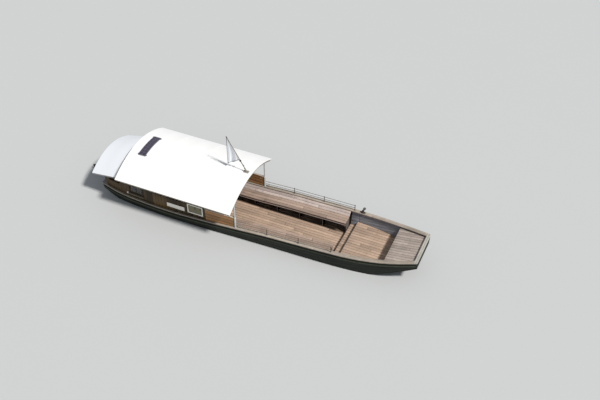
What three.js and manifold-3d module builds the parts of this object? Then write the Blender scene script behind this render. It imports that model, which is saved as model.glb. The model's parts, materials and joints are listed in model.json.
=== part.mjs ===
// A flat-bottomed wooden passenger ferry for river crossings, held by a line at its tow eye.
// Millimetres. +X to the bow, +Y to port, +Z up. The flat bottom rests on Z = 0.
import * as THREE from 'three';
import Module from 'manifold-3d';
import { mergeVertices } from 'three/addons/utils/BufferGeometryUtils.js';

const wasm = await Module();
wasm.setup();

// Driving sizes of the hull
const BOW_X = 6190;
const STERN_X = -5090;
const STATION_STEP = 300;
const FLAT_BOW_X = 3100;
const FLAT_STERN_X = -3100;
const BOW_RAKE_RISE = 1000;
const STERN_RAKE_RISE = 600;
const BOW_RAKE_POWER = 1.6;
const STERN_RAKE_POWER = 1.5;
const FLARE = 0.2;
const BOTTOM_T = 50;
const SIDE_T = 40;
const END_BOARD_T = 40;

// Gaps: between touching pieces, along a seam, and around a piece fitted in place
const GAP = 0.3;
const SEAM = 1;
const FIT = 2;
const END_GAP = 4;
// How far a cutting shape reaches past the faces that it cuts
const PAST = 50;

// Rim line of the hull. Columns: x, half width, height of the gunwale's top
const RIM_TABLE = [
  [-5090, 1000, 890],
  [-4390, 1120, 810],
  [-3390, 1190, 770],
  [-2190, 1220, 770],
  [-790, 1210, 830],
  [210, 1180, 880],
  [1210, 1160, 950],
  [2210, 1140, 990],
  [3210, 1120, 1030],
  [4210, 1070, 1070],
  [5210, 930, 1160],
  [6190, 690, 1320],
];

// Gunwale caps, end rims and rub strakes
const CAP_T = 35;
const CAP_INSIDE = 125;
const CAP_OUTSIDE = 12;
const BOW_RIM_WIDTH = 105;
const BOW_CORNER_R = 50;
const STERN_RIM_WIDTH = 130;
const RIM_LIP = 10;
const STRAKE_T = 22;
const STRAKE_TOP_DROP = 140;
const STRAKE_BOTTOM_DROP = 200;

// Floors, from the bulkhead of the cabin forward
const BOARD_T = 28;
const FLOOR_TOP = 310;
const BEARER_WIDTH = 50;
const BEARER_PITCH = 600;
const FLOOR_SIDE_GAP = 6;
const BULKHEAD_X = -940;
const BULKHEAD_T = 36;
const STEP_X = 3400;
const STEP_TOP = 475;
const PLATFORM_X = 3650;
const PLATFORM_TOP = 640;
const BOW_DECK_X = 5150;
const BOW_DECK_DROP = 90;
const RISER_T = 24;
const STERN_DECK_X = -4400;
const CABIN_FLOOR_X = -3400;
const HELM_FLOOR_END_X = -3404;
const HELM_FLOOR_TOP = 420;

// Seats
const SEAT_T = 30;
const SEAT_DROP = 170;
const SEAT_BACK_INSET = 255;
const SEAT_DEPTH = 360;
const SEAT_START_X = -900;
const SEAT_END_X = 3380;
const APRON_T = 20;
const APRON_DEPTH = 95;
const BACK_T = 28;
const BACK_FOOT_INSET = 262;
const BACK_TOP_INSET = 126;
const BACK_FOOT_LIFT = 4;
const SUPPORT_T = 30;
const SUPPORT_SETBACK = 110;
const SUPPORT_PITCH = 850;
const CABIN_SEAT_TOP = 730;
const CABIN_SEAT_INSET = 135;
const CABIN_SEAT_DEPTH = 360;
const CABIN_SEAT_START_X = -3370;
const CABIN_SEAT_END_X = -1010;

// Roofs, both arched as parabolas across the boat
const ROOF_FRONT_X = 210;
const ROOF_JOINT_X = -4080;
const ROOF_HALF = 1545;
const ROOF_EAVE_Z = 1790;
const ROOF_RISE = 470;
const ROOF_T = 45;
const ROOF_SEGMENTS = 28;
const TAIL_OVERLAP = 70;
const TAIL_END_X = -5330;
const TAIL_T = 36;
// Columns: value at the joint, value at the tail's end
const TAIL_HALF = [1240, 1140];
const TAIL_EAVE_Z = [1590, 1340];
const TAIL_RISE = [440, 350];
const BEAM_T = 44;
const BEAM_DEPTH = 70;
const REAR_BOARD_DEPTH = 215;
const BEAM_END_HALF = 1500;
// Columns: name, x of the beam's aft face
const CABIN_BEAMS = [
  ['aft', -3050],
  ['middle', -2000],
];

// Cabin
const WALL_T = 45;
const WALL_INSET = 50;
const REAR_WALL_X = -4860;
const REAR_WALL_LEAN = 0.25;
const REAR_WALL_TOP_DROP = 70;
const ROOF_CLEARANCE = 5;
const WINDOW_HEAD = 1720;
const WINDOW_WIDTH = 560;
// Columns: x of the window's aft edge, height of its sill, whether it is on the starboard side too
const WINDOWS = [
  [-3900, 945, true],
  [-3130, 1360, true],
  [-2360, 1360, true],
  [-1590, 1360, false],
];
const STERN_WINDOW = { x0: -4690, x1: -4300, z0: 1230, z1: 1400 };
const HELM_OPENING = { half: 560, z0: 985, z1: 1330 };
const PANEL_T = 35;
const PANEL_TOP = 1275;
const PANEL_END_X = 112;
const HANDRAIL_W = 62;
const HANDRAIL_T = 34;
const DOOR_HALF = 350;
const DOOR_HEAD = 2060;
const DOOR_T = 34;
const DOOR_GAP = 6;
const DOOR_FOOT_GAP = 10;
const DOOR_WINDOW = { half: 230, z0: 1050, z1: 1780 };
const BULKHEAD_WINDOW = { y0: 470, y1: 930, z0: 1050, z1: 1780 };

// Posts and side rails
const POST_X = 150;
const POST_INSET = 66;
const POST_R = 20;
const POST_SLEEVE_R = 33;
const POST_SLEEVE_H = 410;
const STANCHION_XS = [1280, 2380, 3490];
const STANCHION_W = 24;
const STANCHION_H = 225;
const FOOT_W = 64;
const FOOT_T = 10;
const WIRE_R = 6;
const WIRE_HEIGHTS = [108, 208];
const RAIL_INSET = 58;

// Things on the roof and on the starboard wall
const SOLAR = { x0: -3740, x1: -3460, half: 530, thick: 24 };
const SOLAR_LIFT = 3;
const STAFF_FOOT = [10, 90, 2296];
const STAFF_TOP = [-660, 90, 3520];
const STAFF_R = 13;
const STAFF_PLATE = { halfLength: 90, halfWidth: 55, thick: 18 };
const STAFF_SOCKET_T = 12;
const STAFF_SOCKET_SPAN = [-0.01, 0.09];
const FLAG_T = 14;
const FLAG_FROM = 0.31;
const FLAG_TO = 0.975;
const FLAG_DROP = 1090;
const FLAG_TIP_DROP = 20;
const FLAG_OFF_STAFF = 3;
const BOARD_THICK = 18;
const BANNER = { x0: -2380, x1: -1710, z0: 940, z1: 1105 };
const POSTER = { x0: -1590, x1: -1010, z0: 950, z1: 1330 };

// Steering
const RUDDER_X = -5165;
const STOCK_R = 24;
const STOCK_TOP = 1120;
const STOCK_BOTTOM = 70;
const BLADE_TOP = 560;
const BLADE_BOTTOM = 40;
const BLADE_END_X = -6200;
const BLADE_T = 44;
const BRACKET_ZS = [690, 800];
const BRACKET_T = 30;
const BRACKET_HALF = 60;
const BRACKET_BACK_T = 13;
const PIN_GAP = 2;
const TILLER_Z = 1080;
const TILLER_RISE = 60;
const TILLER_END_X = -4420;
const TILLER_R = 21;
const HUB_T = 20;
const HUB_DOWN = 35;
const HUB_UP = 30;

// Tow fitting on the port gunwale
const TOW_X = 3780;
const TOW_INSET = 62;
const TOW_BASE = { halfLength: 90, halfWidth: 45, thick: 12 };
const TOW_POST_R = 22;
const TOW_POST_H = 110;
const TOW_CAP_R = 36;
const TOW_EYE_LIFT = 40;
const TOW_EYE_T = 24;
const TOW_COLLAR_R = 42;
const TOW_ARM_W = 52;
const TOW_REACH = 150;
const TOW_END_R = 48;
const TOW_HOLE_R = 20;

// Colours, roughness and metalness of the materials
const LOOKS = {
  greyWood: [0x9a9488, 0.8, 0],
  deckWood: [0xa98d7c, 0.85, 0],
  seatWood: [0xb28258, 0.7, 0],
  hullWood: [0x5a554a, 0.75, 0],
  wallWood: [0x5d3a1e, 0.5, 0],
  canvas: [0xf4f4f2, 0.7, 0],
  tailCanvas: [0xe6eaf0, 0.65, 0],
  paintedSteel: [0xb9c6c4, 0.5, 0.6],
  darkSteel: [0x33312f, 0.6, 0.7],
  board: [0xe4dfcf, 0.6, 0],
  solar: [0x2b2638, 0.25, 0.2],
  cloth: [0xeeeeee, 0.9, 0],
};

// Heights and widths along the hull
const rimCurve = new THREE.CubicInterpolant(
  RIM_TABLE.map((row) => row[0]),
  RIM_TABLE.flatMap((row) => [row[1], row[2]]),
  2,
);

const stationXs = [STERN_X];
while (stationXs.at(-1) + STATION_STEP < BOW_X - STATION_STEP / 2) {
  stationXs.push(stationXs.at(-1) + STATION_STEP);
}
stationXs.push(BOW_X);
const stationRims = stationXs.map((x) => Array.from(rimCurve.evaluate(x)));

// The stretch between two stations that holds x, and how far along it x is
function stretch(x) {
  const next = stationXs.findIndex((value) => value > x);
  const i = next < 0 ? stationXs.length - 2 : Math.max(next - 1, 0);
  return [i, (x - stationXs[i]) / (stationXs[i + 1] - stationXs[i])];
}

function rim(x) {
  const [i, t] = stretch(x);
  const [half, z] = stationRims[i].map((value, k) => THREE.MathUtils.lerp(value, stationRims[i + 1][k], t));
  return { half, z };
}

function keelExact(x) {
  if (x > FLAT_BOW_X) {
    return BOW_RAKE_RISE * ((x - FLAT_BOW_X) / (BOW_X - FLAT_BOW_X)) ** BOW_RAKE_POWER;
  }
  if (x < FLAT_STERN_X) {
    return STERN_RAKE_RISE * ((FLAT_STERN_X - x) / (FLAT_STERN_X - STERN_X)) ** STERN_RAKE_POWER;
  }
  return 0;
}

function keel(x) {
  const [i, t] = stretch(x);
  return THREE.MathUtils.lerp(keelExact(stationXs[i]), keelExact(stationXs[i + 1]), t);
}

function hullHalf(x, z) {
  return rim(x).half - FLARE * (rim(x).z - z);
}

function stationsBetween(x0, x1) {
  return [x0, ...stationXs.filter((x) => x > x0 + 1 && x < x1 - 1), x1];
}

function arch(y, half, eaveZ, rise) {
  return eaveZ + rise * (1 - (y / half) ** 2);
}

function roofTop(y) {
  return arch(y, ROOF_HALF, ROOF_EAVE_Z, ROOF_RISE);
}

function tailTop(x, y) {
  const t = (ROOF_JOINT_X - x) / (ROOF_JOINT_X - TAIL_END_X);
  const at = ([joint, end]) => THREE.MathUtils.lerp(joint, end, t);
  return arch(y, at(TAIL_HALF), at(TAIL_EAVE_Z), at(TAIL_RISE));
}

// Solid shapes
function facingOut(geometry) {
  const p = geometry.attributes.position;
  const index = geometry.index.array;
  const [a, b, c] = [new THREE.Vector3(), new THREE.Vector3(), new THREE.Vector3()];
  let volume = 0;
  for (let i = 0; i < index.length; i += 3) {
    a.fromBufferAttribute(p, index[i]);
    b.fromBufferAttribute(p, index[i + 1]);
    c.fromBufferAttribute(p, index[i + 2]);
    volume += a.dot(b.cross(c));
  }
  if (volume < 0) geometry.setIndex(Array.from(index).reverse());
  return geometry;
}

// A closed slab between two grids of points that have the same rows and columns
function slab(front, back) {
  const rows = front.length;
  const cols = front[0].length;
  const at = (side, i, j) => (side * rows + i) * cols + j;
  const faces = [];
  const quad = (a, b, c, d) => faces.push(a, b, c, a, c, d);
  for (let i = 0; i < rows - 1; i++) {
    for (let j = 0; j < cols - 1; j++) {
      quad(at(0, i, j), at(0, i + 1, j), at(0, i + 1, j + 1), at(0, i, j + 1));
      quad(at(1, i, j), at(1, i, j + 1), at(1, i + 1, j + 1), at(1, i + 1, j));
    }
    quad(at(0, i, 0), at(1, i, 0), at(1, i + 1, 0), at(0, i + 1, 0));
    quad(at(0, i, cols - 1), at(0, i + 1, cols - 1), at(1, i + 1, cols - 1), at(1, i, cols - 1));
  }
  for (let j = 0; j < cols - 1; j++) {
    quad(at(0, 0, j), at(0, 0, j + 1), at(1, 0, j + 1), at(1, 0, j));
    quad(at(0, rows - 1, j), at(1, rows - 1, j), at(1, rows - 1, j + 1), at(0, rows - 1, j + 1));
  }
  const geometry = new THREE.BufferGeometry();
  const points = [front, back].flat(3);
  geometry.setAttribute('position', new THREE.Float32BufferAttribute(points, 3));
  geometry.setIndex(faces);
  return facingOut(geometry);
}

function box(x0, x1, y0, y1, z0, z1) {
  const geometry = new THREE.BoxGeometry(x1 - x0, Math.abs(y1 - y0), z1 - z0);
  return geometry.translate((x0 + x1) / 2, (y0 + y1) / 2, (z0 + z1) / 2);
}

function upright(x, y, z0, z1, radius, sides = 16) {
  const geometry = new THREE.CylinderGeometry(radius, radius, z1 - z0, sides);
  return geometry.rotateX(Math.PI / 2).translate(x, y, (z0 + z1) / 2);
}

function rod(from, to, radius, sides = 8) {
  const start = new THREE.Vector3(...from);
  const end = new THREE.Vector3(...to);
  const along = end.clone().sub(start);
  const geometry = new THREE.CylinderGeometry(radius, radius, along.length(), sides);
  const up = new THREE.Vector3(0, 1, 0);
  const turn = new THREE.Quaternion().setFromUnitVectors(up, along.clone().normalize());
  const middle = start.add(end).multiplyScalar(0.5);
  return geometry.applyQuaternion(turn).translate(middle.x, middle.y, middle.z);
}

function toSolid(geometry) {
  const bare = geometry.clone();
  bare.deleteAttribute('normal');
  bare.deleteAttribute('uv');
  const merged = mergeVertices(bare, 1e-3);
  const vertProperties = new Float32Array(merged.attributes.position.array);
  const triVerts = new Uint32Array(merged.index.array);
  return new wasm.Manifold(new wasm.Mesh({ numProp: 3, vertProperties, triVerts }));
}

function toGeometry(solid) {
  const mesh = solid.getMesh();
  const geometry = new THREE.BufferGeometry();
  geometry.setAttribute('position', new THREE.Float32BufferAttribute(mesh.vertProperties, 3));
  geometry.setIndex(Array.from(mesh.triVerts));
  return geometry;
}

function join(geometries) {
  return toGeometry(geometries.map(toSolid).reduce((sum, next) => sum.add(next)));
}

function cut(geometry, tools) {
  return toGeometry(tools.map(toSolid).reduce((rest, tool) => rest.subtract(tool), toSolid(geometry)));
}

const ferry = new THREE.Group();

function add(name, look, geometry) {
  const [color, roughness, metalness] = LOOKS[look];
  const mesh = new THREE.Mesh(geometry, new THREE.MeshStandardMaterial({ color, roughness, metalness }));
  mesh.name = name;
  ferry.add(mesh);
}

// Both sides are made by the same functions: +1 is port, -1 is starboard
const SIDES = [['port', 1], ['starboard', -1]];

// A strip that follows the rim. The section gives its corners from the rim at x:
// [outer low, outer high, inner low, inner high], each as [y, z]
function strip(x0, x1, side, section) {
  const rows = stationsBetween(x0, x1).map((x) => section(x).map(([y, z]) => [x, side * y, z]));
  const outer = rows.map((row) => [row[0], row[1]]);
  const inner = rows.map((row) => [row[2], row[3]]);
  return slab(outer, inner);
}

// Hull
function bottomBoards() {
  const xs = stationsBetween(STERN_X, BOW_X);
  const layer = (lift) => xs.map((x) => {
    const z = keel(x) + lift;
    const half = hullHalf(x, keel(x));
    return [[x, -half, z], [x, half, z]];
  });
  return slab(layer(0), layer(BOTTOM_T));
}

function sidePlanking(side) {
  return strip(STERN_X + END_BOARD_T + GAP, BOW_X - END_BOARD_T - GAP, side, (x) => {
    const low = keel(x) + BOTTOM_T + SEAM;
    const high = rim(x).z - CAP_T - GAP;
    const outer = [low, high].map((z) => [hullHalf(x, z), z]);
    const inner = [low, high].map((z) => [hullHalf(x, z) - SIDE_T, z]);
    return [...outer, ...inner];
  });
}

function endBoard(x0, x1) {
  const edge = (x, z) => [[x, -hullHalf(x, z), z], [x, hullHalf(x, z), z]];
  const face = (x) => [edge(x, keel(x) + BOTTOM_T + SEAM), edge(x, rim(x).z - CAP_T - GAP)];
  return slab(face(x0), face(x1));
}

function gunwale(side) {
  return strip(STERN_X + STERN_RIM_WIDTH + GAP, BOW_X - BOW_RIM_WIDTH - GAP, side, (x) => {
    const { half, z } = rim(x);
    const low = z - CAP_T;
    const [outer, inner] = [half + CAP_OUTSIDE, half - CAP_INSIDE];
    return [[outer, low], [outer, z], [inner, low], [inner, z]];
  });
}

// The corners at x1 are rounded where a radius is given
function endRim(x0, x1, radius = 0) {
  const turns = radius > 0 ? [0, 0.25, 0.5, 0.75, 1].map((part) => part * Math.PI / 2) : [Math.PI / 2];
  const rows = [[x0, 0], ...turns.map((turn) => [
    x1 - radius * (1 - Math.sin(turn)), radius * (1 - Math.cos(turn)),
  ])];
  const layer = (lift) => rows.map(([x, inset]) => {
    const { half, z } = rim(x);
    const reach = half + CAP_OUTSIDE - inset;
    return [[x, -reach, z + lift], [x, reach, z + lift]];
  });
  return slab(layer(-CAP_T), layer(0));
}

function rubStrake(side) {
  return strip(STERN_X + END_BOARD_T, BOW_X - END_BOARD_T, side, (x) => {
    const high = rim(x).z - STRAKE_TOP_DROP;
    const low = rim(x).z - STRAKE_BOTTOM_DROP;
    const outer = [low, high].map((z) => [hullHalf(x, z) + STRAKE_T, z]);
    const inner = [low, high].map((z) => [hullHalf(x, z) + SEAM, z]);
    return [...outer, ...inner];
  });
}

add('bottom_boards', 'hullWood', bottomBoards());
add('bow_board', 'hullWood', endBoard(BOW_X - END_BOARD_T, BOW_X));
add('stern_board', 'hullWood', endBoard(STERN_X, STERN_X + END_BOARD_T));
add('bow_rim', 'greyWood', endRim(BOW_X - BOW_RIM_WIDTH, BOW_X + RIM_LIP, BOW_CORNER_R));
add('stern_rim', 'greyWood', endRim(STERN_X - RIM_LIP, STERN_X + STERN_RIM_WIDTH));
for (const [name, side] of SIDES) {
  add(`hull_side_${name}`, 'hullWood', sidePlanking(side));
  add(`gunwale_${name}`, 'greyWood', gunwale(side));
  add(`rub_strake_${name}`, 'greyWood', rubStrake(side));
}

// Floors
function deck(x0, x1, topAt, thickness, edgeAt) {
  const layer = (lift) => stationsBetween(x0, x1).map((x) => {
    const z = topAt(x) + lift;
    const half = edgeAt(x);
    return [[x, -half, z], [x, half, z]];
  });
  return slab(layer(-thickness), layer(0));
}

function innerHalf(x, z) {
  return hullHalf(x, z) - SIDE_T - FLOOR_SIDE_GAP;
}

function lowFloor(x0, x1) {
  const boards = deck(x0, x1, () => FLOOR_TOP, BOARD_T, (x) => innerHalf(x, FLOOR_TOP - BOARD_T));
  const bearers = [];
  for (let x = x0 + BEARER_PITCH / 2; x < x1 - BEARER_WIDTH; x += BEARER_PITCH) {
    const base = Math.max(keel(x), keel(x + BEARER_WIDTH)) + BOTTOM_T + SEAM;
    const half = innerHalf(x, base) - BEARER_WIDTH;
    if (FLOOR_TOP - BOARD_T - base > BOARD_T) {
      bearers.push(box(x, x + BEARER_WIDTH, -half, half, base, FLOOR_TOP - BOARD_T / 2));
    }
  }
  return join([boards, ...bearers]);
}

// A raised floor with the riser that closes its lower end, at riserX
function raisedFloor(x0, x1, topAt, riserX, riserFoot) {
  const boards = deck(x0, x1, topAt, BOARD_T, (x) => innerHalf(x, topAt(x) - BOARD_T));
  const half = innerHalf(riserX, riserFoot) - FLOOR_SIDE_GAP;
  const low = Math.min(topAt(riserX), topAt(riserX + RISER_T)) - BOARD_T / 2;
  return join([boards, box(riserX, riserX + RISER_T, -half, half, riserFoot, low)]);
}

const bowDeckTop = (x) => rim(x).z - BOW_DECK_DROP;
const sternDeckTop = (x) => rim(x).z - CAP_T - SEAM;
const onFloor = FLOOR_TOP + GAP;
const bowDeckEnd = BOW_X - END_BOARD_T - END_GAP;
const sternDeckEnd = STERN_X + END_BOARD_T + END_GAP;
const platformFoot = keel(PLATFORM_X + RISER_T) + BOTTOM_T + FIT;

// Columns: name, aft end, forward end, height of the top at x, x of the riser, foot of the riser
const RAISED_FLOORS = [
  ['entry_step', STEP_X, PLATFORM_X - FIT, () => STEP_TOP, STEP_X, onFloor],
  ['boarding_deck', PLATFORM_X, BOW_DECK_X - FIT, () => PLATFORM_TOP, PLATFORM_X, platformFoot],
  ['bow_deck', BOW_DECK_X, bowDeckEnd, bowDeckTop, BOW_DECK_X, PLATFORM_TOP + GAP],
  ['helm_floor', STERN_DECK_X, HELM_FLOOR_END_X, () => HELM_FLOOR_TOP, HELM_FLOOR_END_X - RISER_T, onFloor],
  ['stern_deck', sternDeckEnd, STERN_DECK_X + RISER_T, sternDeckTop, STERN_DECK_X, HELM_FLOOR_TOP + GAP],
];

add('cabin_floor', 'deckWood', lowFloor(CABIN_FLOOR_X, BULKHEAD_X - BULKHEAD_T - FIT));
add('well_floor', 'deckWood', lowFloor(BULKHEAD_X - BULKHEAD_T, STEP_X + 2 * RISER_T));
for (const [name, ...sizes] of RAISED_FLOORS) {
  add(name, 'deckWood', raisedFloor(...sizes));
}

// Seats along both sides. A seat is one board on upright supports, with an apron under its front edge
function seat(side, x0, x1, topAt, inset, depth) {
  const board = strip(x0, x1, side, (x) => {
    const back = rim(x).half - inset;
    const z = topAt(x);
    return [[back, z - SEAT_T], [back, z], [back - depth, z - SEAT_T], [back - depth, z]];
  });
  const apron = strip(x0, x1, side, (x) => {
    const front = rim(x).half - inset - depth + APRON_T / 2;
    const high = topAt(x) - SEAT_T / 2;
    const low = high - APRON_DEPTH;
    return [[front + APRON_T, low], [front + APRON_T, high], [front, low], [front, high]];
  });
  const supports = [];
  const count = Math.round((x1 - x0) / SUPPORT_PITCH);
  for (let k = 0; k <= count; k++) {
    const x = THREE.MathUtils.lerp(x0, x1 - SUPPORT_T, k / count);
    const high = topAt(x) - SEAT_T / 2;
    const back = Math.min(rim(x).half, rim(x + SUPPORT_T).half) - inset;
    const foot = Math.min(back, innerHalf(x, onFloor));
    const front = back - depth + SUPPORT_SETBACK;
    supports.push(strip(x, x + SUPPORT_T, side, () => [
      [foot, onFloor], [back, high], [front, onFloor], [front, high],
    ]));
  }
  return join([board, apron, ...supports]);
}

function seatBack(side) {
  return strip(SEAT_START_X, SEAT_END_X, side, (x) => {
    const low = rim(x).z - SEAT_DROP + BACK_FOOT_LIFT;
    const high = rim(x).z - CAP_T - FIT;
    const foot = rim(x).half - BACK_FOOT_INSET;
    const top = rim(x).half - BACK_TOP_INSET;
    return [[foot + BACK_T, low], [top + BACK_T, high], [foot, low], [top, high]];
  });
}

for (const [name, side] of SIDES) {
  const openSeat = [SEAT_START_X, SEAT_END_X, (x) => rim(x).z - SEAT_DROP, SEAT_BACK_INSET, SEAT_DEPTH];
  const cabinSeat = [
    CABIN_SEAT_START_X, CABIN_SEAT_END_X, () => CABIN_SEAT_TOP, CABIN_SEAT_INSET, CABIN_SEAT_DEPTH,
  ];
  add(`bench_seat_${name}`, 'seatWood', seat(side, ...openSeat));
  add(`bench_back_${name}`, 'deckWood', seatBack(side));
  add(`cabin_bench_${name}`, 'seatWood', seat(side, ...cabinSeat));
}

// Roofs and the arched beams under them
function roofPoints(half, pointAt) {
  return Array.from({ length: ROOF_SEGMENTS + 1 }, (_, k) => pointAt(half * (2 * k / ROOF_SEGMENTS - 1)));
}

function mainRoof() {
  const row = (x, lift) => roofPoints(ROOF_HALF, (y) => [x, y, roofTop(y) - lift]);
  const layer = (lift) => [ROOF_JOINT_X, ROOF_FRONT_X].map((x) => row(x, lift));
  return slab(layer(0), layer(ROOF_T));
}

function tailRoof() {
  const start = ROOF_JOINT_X + TAIL_OVERLAP;
  const halfAt = (x) => THREE.MathUtils.mapLinear(x, ROOF_JOINT_X, TAIL_END_X, ...TAIL_HALF);
  const row = (x, lift) => roofPoints(halfAt(x), (y) => [x, y, tailTop(x, y) - lift]);
  const layer = (lift) => [TAIL_END_X, start].map((x) => row(x, lift));
  return slab(layer(0), layer(TAIL_T));
}

function beam(x, half, depth) {
  const face = (at) => {
    const high = roofPoints(half, (y) => [at, y, roofTop(y) - ROOF_T - SEAM]);
    return [high, high.map(([px, py, pz]) => [px, py, pz - depth])];
  };
  return slab(face(x), face(x + BEAM_T));
}

add('main_roof', 'canvas', mainRoof());
add('tail_roof', 'tailCanvas', tailRoof());
add('roof_beam_front', 'wallWood', beam(POST_X - BEAM_T / 2, BEAM_END_HALF, BEAM_DEPTH));
const insideWall = (x) => rim(x).half - WALL_INSET - WALL_T - FIT;
for (const [name, x] of CABIN_BEAMS) {
  add(`roof_beam_${name}`, 'wallWood', beam(x, insideWall(x), BEAM_DEPTH));
}
const wallStartX = ROOF_JOINT_X + TAIL_OVERLAP + FIT;
add('roof_rear_board', 'wallWood', beam(wallStartX, insideWall(wallStartX), REAR_BOARD_DEPTH));

// Cabin walls stand on the gunwale caps and carry the roofs
function wall(x0, x1, side, topAt, leanAft) {
  const rows = stationsBetween(x0, x1);
  const column = (x, inset) => [0, 1].map((level) => {
    const y = rim(x).half - inset;
    const lean = x === x0 ? leanAft : 0;
    const low = rim(x).z + GAP;
    let high = topAt(x, y);
    for (let pass = 0; pass < 4; pass++) high = topAt(x - lean * (high - low), y) - ROOF_CLEARANCE;
    const z = THREE.MathUtils.lerp(low, high, level);
    return [x - lean * (z - low), side * y, z];
  });
  return slab(rows.map((x) => column(x, WALL_INSET)), rows.map((x) => column(x, WALL_INSET + WALL_T)));
}

// A box that cuts a window through a side wall
function throughSide(x0, x1, side, z0, z1) {
  return box(x0, x1, side * ROOF_HALF / 2, side * ROOF_HALF, z0, z1);
}

for (const [name, side] of SIDES) {
  const windows = WINDOWS.filter((row) => side > 0 || row[2]);
  const holes = windows.map(([x, sill]) => throughSide(x, x + WINDOW_WIDTH, side, sill, WINDOW_HEAD));
  const mainWall = wall(wallStartX, BULKHEAD_X, side, (x, y) => roofTop(y) - ROOF_T, 0);
  add(`cabin_side_${name}`, 'wallWood', cut(mainWall, holes));
  const { x0, x1, z0, z1 } = STERN_WINDOW;
  const underTail = (x, y) => tailTop(x, y) - TAIL_T;
  const sternWall = wall(REAR_WALL_X, wallStartX - FIT, side, underTail, REAR_WALL_LEAN);
  add(`stern_side_${name}`, 'wallWood', cut(sternWall, [throughSide(x0, x1, side, z0, z1)]));
}

// The rear wall leans aft and stands on the stern deck between the side walls
function rearWall() {
  const half = insideWall(REAR_WALL_X) - SEAM;
  const foot = sternDeckTop(REAR_WALL_X) + FIT;
  const face = (shift) => roofPoints(half, (y) => {
    const high = tailTop(REAR_WALL_X, y) - TAIL_T - REAR_WALL_TOP_DROP;
    const aft = REAR_WALL_LEAN * (high - foot);
    return [[REAR_WALL_X + shift, y, foot], [REAR_WALL_X + shift - aft, y, high]];
  });
  const { half: openHalf, z0, z1 } = HELM_OPENING;
  const [aftX, foreX] = [STERN_X - PAST, REAR_WALL_X + 2 * PAST];
  const clear = rim(REAR_WALL_X).half - CAP_INSIDE - FIT;
  const capTop = rim(aftX).z + FIT;
  return cut(slab(face(0), face(WALL_T)), [
    box(aftX, foreX, -openHalf, openHalf, z0, z1),
    box(aftX, foreX, clear, half + PAST, foot - PAST, capTop),
    box(aftX, foreX, -half - PAST, -clear, foot - PAST, capTop),
  ]);
}

// The bulkhead and its door, outlined across the boat and extruded along it
function bulkhead() {
  const low = onFloor;
  const shoulder = rim(BULKHEAD_X).z + FIT;
  const underCap = rim(BULKHEAD_X).z - CAP_T - FLOOR_SIDE_GAP;
  const lowHalf = innerHalf(BULKHEAD_X, low);
  const midHalf = rim(BULKHEAD_X).half - CAP_INSIDE - FLOOR_SIDE_GAP;
  const topHalf = rim(BULKHEAD_X).half - WALL_INSET - WALL_T - FLOOR_SIDE_GAP;
  const shape = new THREE.Shape();
  shape.moveTo(DOOR_HALF, low);
  shape.lineTo(lowHalf, low);
  shape.lineTo(midHalf, underCap);
  shape.lineTo(midHalf, shoulder);
  shape.lineTo(topHalf, shoulder);
  for (let k = 0; k <= ROOF_SEGMENTS; k++) {
    const y = topHalf * (1 - 2 * k / ROOF_SEGMENTS);
    shape.lineTo(y, roofTop(y) - ROOF_T - FIT);
  }
  shape.lineTo(-topHalf, shoulder);
  shape.lineTo(-midHalf, shoulder);
  shape.lineTo(-midHalf, underCap);
  shape.lineTo(-lowHalf, low);
  shape.lineTo(-DOOR_HALF, low);
  shape.lineTo(-DOOR_HALF, DOOR_HEAD);
  shape.lineTo(DOOR_HALF, DOOR_HEAD);
  const { y0, y1, z0, z1 } = BULKHEAD_WINDOW;
  const body = acrossBoat(shape, BULKHEAD_X - BULKHEAD_T, BULKHEAD_T);
  const [aftX, foreX] = [BULKHEAD_X - BULKHEAD_T - PAST, BULKHEAD_X + PAST];
  return cut(body, [box(aftX, foreX, y0, y1, z0, z1), box(aftX, foreX, -y1, -y0, z0, z1)]);
}

// Extrudes a shape drawn in (Y, Z) along X from x0
function acrossBoat(shape, x0, depth) {
  const geometry = new THREE.ExtrudeGeometry(shape, { depth, bevelEnabled: false });
  const turn = new THREE.Matrix4().makeBasis(
    new THREE.Vector3(0, 1, 0), new THREE.Vector3(0, 0, 1), new THREE.Vector3(1, 0, 0),
  );
  return geometry.applyMatrix4(turn).translate(x0, 0, 0);
}

function door() {
  const x0 = BULKHEAD_X - (BULKHEAD_T + DOOR_T) / 2;
  const half = DOOR_HALF - DOOR_GAP;
  const leaf = box(x0, x0 + DOOR_T, -half, half, FLOOR_TOP + DOOR_FOOT_GAP, DOOR_HEAD - DOOR_GAP);
  const { half: paneHalf, z0, z1 } = DOOR_WINDOW;
  return cut(leaf, [box(x0 - PAST, x0 + DOOR_T + PAST, -paneHalf, paneHalf, z0, z1)]);
}

add('rear_wall', 'wallWood', rearWall());
add('cabin_bulkhead', 'wallWood', bulkhead());
add('cabin_door', 'wallWood', door());

// Open bay in front of the cabin: a low panel with a handrail, and the front post
function bayPanel(side) {
  return strip(BULKHEAD_X + FIT, PANEL_END_X, side, (x) => {
    const y = rim(x).half - WALL_INSET;
    const low = rim(x).z + SEAM;
    return [[y, low], [y, PANEL_TOP], [y - PANEL_T, low], [y - PANEL_T, PANEL_TOP]];
  });
}

function handrail(side) {
  return strip(BULKHEAD_X + FIT, PANEL_END_X, side, (x) => {
    const y = rim(x).half - WALL_INSET - PANEL_T / 2 + HANDRAIL_W / 2;
    const low = PANEL_TOP + SEAM;
    return [[y, low], [y, low + HANDRAIL_T], [y - HANDRAIL_W, low], [y - HANDRAIL_W, low + HANDRAIL_T]];
  });
}

function frontPost(side) {
  const y = side * (rim(POST_X).half - POST_INSET);
  const foot = rim(POST_X + POST_SLEEVE_R).z + SEAM;
  const head = roofTop(Math.abs(y) + POST_R) - ROOF_T - BEAM_DEPTH - FIT;
  return join([
    upright(POST_X, y, foot, foot + POST_SLEEVE_H, POST_SLEEVE_R),
    upright(POST_X, y, foot + POST_SLEEVE_H / 2, head, POST_R),
  ]);
}

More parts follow.
